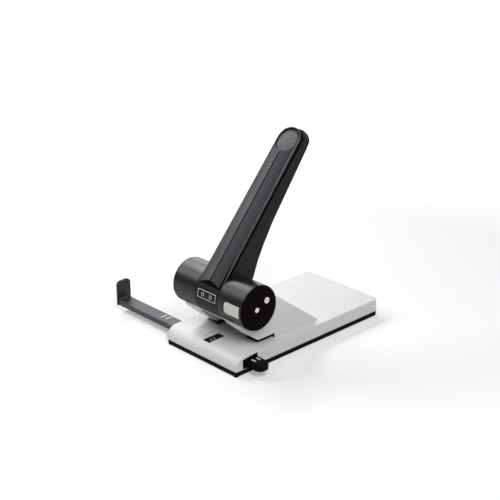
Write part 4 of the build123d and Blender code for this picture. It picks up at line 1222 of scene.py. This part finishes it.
@dataclass(frozen=True)
class Drive:
    """Hidden drive: shaft, gears, racks, punch pins, springs, and the screws that hold the castings."""

    head_steps: int = 28
    recess: float = 0.55
    punch_stroke: float = 10.2
    button_stroke: float = 2.5

    def screw(self, name: str, shank: float, head: float, rise: float, length: float) -> bpy.types.Object:
        """Makes one pan-head screw with a cross recess, head down, on the origin.

        Args:
            name: Name of the piece.
            shank: Radius of the shank.
            head: Radius of the head.
            rise: Height of the head.
            length: Length of the shank.

        Returns:
            The new piece.
        """
        profile = [
            (0.0, 0.0),
            (0.0, head * 0.72),
            (rise * 0.22, head * 0.92),
            (rise * 0.55, head),
            (rise, head),
            (rise, shank),
            (rise + length - shank * 0.3, shank),
            (rise + length, shank * 0.7),
            (rise + length, 0.0),
        ]
        piece = turned(name, profile, self.head_steps)
        arm, half = head * 0.62, head * 0.11
        for wide, deep in ((arm, half), (half, arm)):
            outline = [(-wide, -deep), (wide, -deep), (wide, deep), (-wide, deep)]
            cut(piece, prism("recess", outline, -rise, rise * self.recess, lambda u, v, w: (w, u, v)))
        piece.data.shade_flat()
        return piece

    def screws(self, name: str, node: str, shank: float, head: float, rise: float) -> None:
        """Sets the screws of a CAD node, upright with their heads down.

        Args:
            name: Name of the piece.
            node: CAD node that they stand for.
            shank: Radius of the shank.
            head: Radius of the head.
            rise: Height of the head.
        """
        low, high = ([c / MM for c in corner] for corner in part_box(node))
        columns = sorted({round(low[0] + head, 3), round(high[0] - head, 3)})
        rows = sorted({round(low[1] + head, 3), round(high[1] - head, 3)})
        places = [(x, y, low[2]) for x in columns for y in rows]
        shape = self.screw(f"{name}_shape", shank, head, rise, high[2] - low[2] - rise)
        upright = (0.0, -math.pi / 2, 0.0)
        piece = Repeat().run(name, shape, Finish.PLATED, places, [upright] * len(places))
        mount(piece, Body.BASE, Finish.PLATED, "plain_steel", node)

    def coil(self, name: str, node: str) -> None:
        """Sets a coil spring.

        Args:
            name: Name of the piece.
            node: CAD node that it stands for.
        """
        piece = copied(node, name)
        piece.data.shade_smooth()
        mount(piece, Body.BASE, Finish.PLATED, "plain_steel", node)
        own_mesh(piece)

    def springs(self) -> None:
        """Sets the return springs round the punch pins and the spring behind the lock button."""
        for side in ("left", "right"):
            self.coil(f"return_coil_{side}", f"return_spring_{side}")
        self.coil("lock_coil", "lock_spring")

    def build(self) -> None:
        """Dresses the drive, and sets the springs and the screws."""
        keep(Finish.STEEL, "shaft", "hub_pin", "lock_cam", "gear_left", "gear_right")
        keep(Finish.STEEL, "rack_left", "rack_right")
        keep(Finish.PIN_STEEL, "punch_pin_left", "punch_pin_right", "die_left", "die_right")
        keep(Finish.PLATED, "rail_keeper", "rail_detent", "shaft_rings")
        keep(Finish.BRONZE, "bearing_bush_left", "bearing_bush_right", "guide_bush_left", "guide_bush_right")
        self.springs()
        self.screws("casting_screws", "bridge_screws", 2.5, 5.0, 3.5)
        self.screws("strap_screws", "keeper_screws", 1.5, 2.8, 1.6)


def bearing(azimuth: float, elevation: float) -> Vector:
    """Finds the way from the object to a place round it.

    Args:
        azimuth: Degrees round from the front, towards the right.
        elevation: Degrees above the floor.

    Returns:
        The way, one metre long.
    """
    turn, lift = math.radians(azimuth), math.radians(elevation)
    return Vector((math.sin(turn) * math.cos(lift), -math.cos(turn) * math.cos(lift), math.sin(lift)))


def standing(place: Vector, right: Vector, up: Vector, back: Vector) -> Matrix:
    """Makes the place and turn of a lamp or a camera that looks against the way back."""
    return Matrix.Translation(place) @ Matrix((right, up, back)).transposed().to_4x4()


@dataclass(frozen=True)
class SoftLamp:
    """Oval soft box: where it hangs round the object, its size and how bright its face is."""

    name: str
    azimuth: float
    elevation: float
    distance: float
    size: Flat
    brightness: float
    lean: Point = (0.0, 0.0, 1.0)
    aim: Point = (0.0, -0.04, 0.09)

    def build(self) -> None:
        """Hangs the lamp with its long side along the lean."""
        away = bearing(self.azimuth, self.elevation)
        lean = Vector(self.lean)
        long_side = (lean - away * lean.dot(away)).normalized()
        data = bpy.data.lights.new(self.name, "AREA")
        data.shape = "ELLIPSE"
        data.size, data.size_y = self.size
        data.energy = math.pi * self.size[0] * self.size[1] * self.brightness
        lamp = bpy.data.objects.new(self.name, data)
        bpy.context.scene.collection.objects.link(lamp)
        place = Vector(self.aim) + away * self.distance
        lamp.matrix_world = standing(place, long_side, away.cross(long_side), away)
        lamp.visible_camera = False
        log.info("%s hangs at azimuth %.0f, elevation %.0f", self.name, self.azimuth, self.elevation)


def shown_rays(tree: bpy.types.NodeTree) -> bpy.types.NodeSocket:
    """Adds nodes that give 1 for what is seen, directly or in metal and glass, and 0 for light.

    Args:
        tree: Tree of the material or the world.

    Returns:
        The socket with the value.
    """
    path = add_node(tree, "ShaderNodeLightPath").outputs
    either = {"operation": "MAXIMUM"}
    kinds = {0: path["Is Camera Ray"], 1: path["Is Glossy Ray"]}
    direct = add_node(tree, "ShaderNodeMath", either, kinds).outputs[0]
    return add_node(tree, "ShaderNodeMath", either, {0: direct, 1: path["Is Transmission Ray"]}).outputs[0]


@dataclass(frozen=True)
class Studio:
    """White sweep, soft light and the camera of the product picture."""

    azimuth: float = 47.01
    elevation: float = 22.33
    roll: float = -0.56
    distance: float = 1763.0
    target: Point = (-49.64, -0.52, 105.81)
    focal: float = 1255.23
    frame_width: float = 500.0
    sensor: float = 36.0
    clip: Flat = (0.05, 50.0)
    reach: float = 40000.0
    paper: str = "#D9D9D8"
    paper_glow: float = 0.3
    glow_reach: Flat = (0.5, 1.5)
    fill: float = 0.2
    sky: str = "#FFFFFF"
    corner: Point = (-0.685, -0.715, 0.14)
    corner_fill: float = 0.2
    corner_glow: float = 0.6
    lamps: tuple[SoftLamp, ...] = (
        SoftLamp("key_lamp", 261.0, 44.5, 1.6, (1.1, 0.3), 10.2, (0.0, 1.0, -0.15)),
        SoftLamp("rim_lamp", 229.0, 20.0, 1.7, (0.8, 0.4), 3.6, (0.0, 1.0, -0.3)),
        SoftLamp("side_lamp", 300.0, 34.0, 1.5, (0.75, 0.55), 5.5),
        SoftLamp("fill_lamp", 62.0, 46.0, 1.8, (1.0, 1.0), 6.4),
    )

    def camera(self) -> None:
        """Sets the camera at the picture's angle and distance."""
        turn, roll = math.radians(self.azimuth), math.radians(self.roll)
        back = bearing(self.azimuth, self.elevation)
        right = Vector((math.cos(turn), math.sin(turn), 0.0))
        up = back.cross(right)
        tilted = right * math.cos(roll) + up * math.sin(roll)
        upright = up * math.cos(roll) - right * math.sin(roll)
        data = bpy.data.cameras.new("camera")
        data.sensor_width = self.sensor
        data.lens = self.focal / self.frame_width * self.sensor
        data.clip_start, data.clip_end = self.clip
        camera = bpy.data.objects.new("camera", data)
        bpy.context.scene.collection.objects.link(camera)
        place = (Vector(self.target) + back * self.distance) * MM
        camera.matrix_world = standing(place, tilted, upright, back)
        bpy.context.scene.camera = camera

    def floor(self) -> None:
        """Lays the floor of white paper, which keeps the soft shadow and shows white far away."""
        reach = self.reach
        corners = [(-reach, -reach, 0.0), (reach, -reach, 0.0), (reach, reach, 0.0), (-reach, reach, 0.0)]
        floor = new_piece("floor", corners, [(0, 1, 2, 3)])
        material, tree = new_material("paper_sweep_white")
        shown = shown_rays(tree)
        paper = add_node(tree, "ShaderNodeBsdfDiffuse", {"Color": linear(self.paper)}).outputs[0]
        place = {0: add_node(tree, "ShaderNodeTexCoord").outputs["Object"]}
        apart = add_node(tree, "ShaderNodeVectorMath", {"operation": "LENGTH"}, place).outputs["Value"]
        near, far = self.glow_reach
        rising = {1: near, 2: far, 3: self.paper_glow, 4: 1.0}
        glow = add_node(tree, "ShaderNodeMapRange", rising, {0: apart}).outputs[0]
        way = add_node(tree, "ShaderNodeVectorMath", {"operation": "NORMALIZE"}, place).outputs[0]
        facing = {"operation": "DOT_PRODUCT", 1: self.corner}
        share = add_node(tree, "ShaderNodeVectorMath", facing, {0: way}).outputs["Value"]
        falling = {1: 0.35, 2: 0.8, 3: 1.0, 4: self.corner_glow}
        dim = add_node(tree, "ShaderNodeMapRange", falling, {0: share}).outputs[0]
        level = add_node(tree, "ShaderNodeMath", {"operation": "MINIMUM"}, {0: glow, 1: dim}).outputs[0]
        white = {"Color": (1.0, 1.0, 1.0, 1.0)}
        shine = add_node(tree, "ShaderNodeEmission", white, {"Strength": level}).outputs[0]
        lit = add_node(tree, "ShaderNodeAddShader", None, {0: paper, 1: shine}).outputs[0]
        mix = add_node(tree, "ShaderNodeMixShader", None, {0: shown, 1: paper, 2: lit}).outputs[0]
        add_node(tree, "ShaderNodeOutputMaterial", None, {"Surface": mix})
        floor.data.materials.append(material)

    def lights(self) -> None:
        """Hangs the lamps in a pale room that is dark in its front left corner."""
        world = bpy.data.worlds.new("room")
        world.use_nodes = True
        tree = world.node_tree
        tree.nodes.clear()
        way = add_node(tree, "ShaderNodeTexCoord").outputs["Generated"]
        facing = {"operation": "DOT_PRODUCT", 1: self.corner}
        near = add_node(tree, "ShaderNodeVectorMath", facing, {0: way}).outputs["Value"]
        falling = {"interpolation_type": "SMOOTHSTEP", 1: 0.45, 2: 0.95, 3: 1.0, 4: self.corner_fill}
        dark = add_node(tree, "ShaderNodeMapRange", falling, {0: near}).outputs[0]
        levels = {3: self.fill, 4: 1.0}
        share = add_node(tree, "ShaderNodeMapRange", levels, {0: shown_rays(tree)}).outputs[0]
        level = add_node(tree, "ShaderNodeMath", {"operation": "MULTIPLY"}, {0: dark, 1: share}).outputs[0]
        sky = {"Color": linear(self.sky)}
        room = add_node(tree, "ShaderNodeBackground", sky, {"Strength": level}).outputs[0]
        add_node(tree, "ShaderNodeOutputWorld", None, {"Surface": room})
        bpy.context.scene.world = world
        for lamp in self.lamps:
            lamp.build()

    def build(self) -> None:
        """Builds the whole studio."""
        self.floor()
        self.lights()
        self.camera()
        bpy.context.scene.view_settings.view_transform = "Standard"


def main() -> None:
    """Builds every sub-assembly in order, then the studio."""
    logging.basicConfig(level=logging.INFO, format="%(name)s: %(message)s")
    for assembly in (Base(), Bridge(), Drum(), Lever(), Guide(), Drive(), Studio()):
        log.info("building %s", type(assembly).__name__)
        assembly.build()


if __name__ == "__main__":
    main()
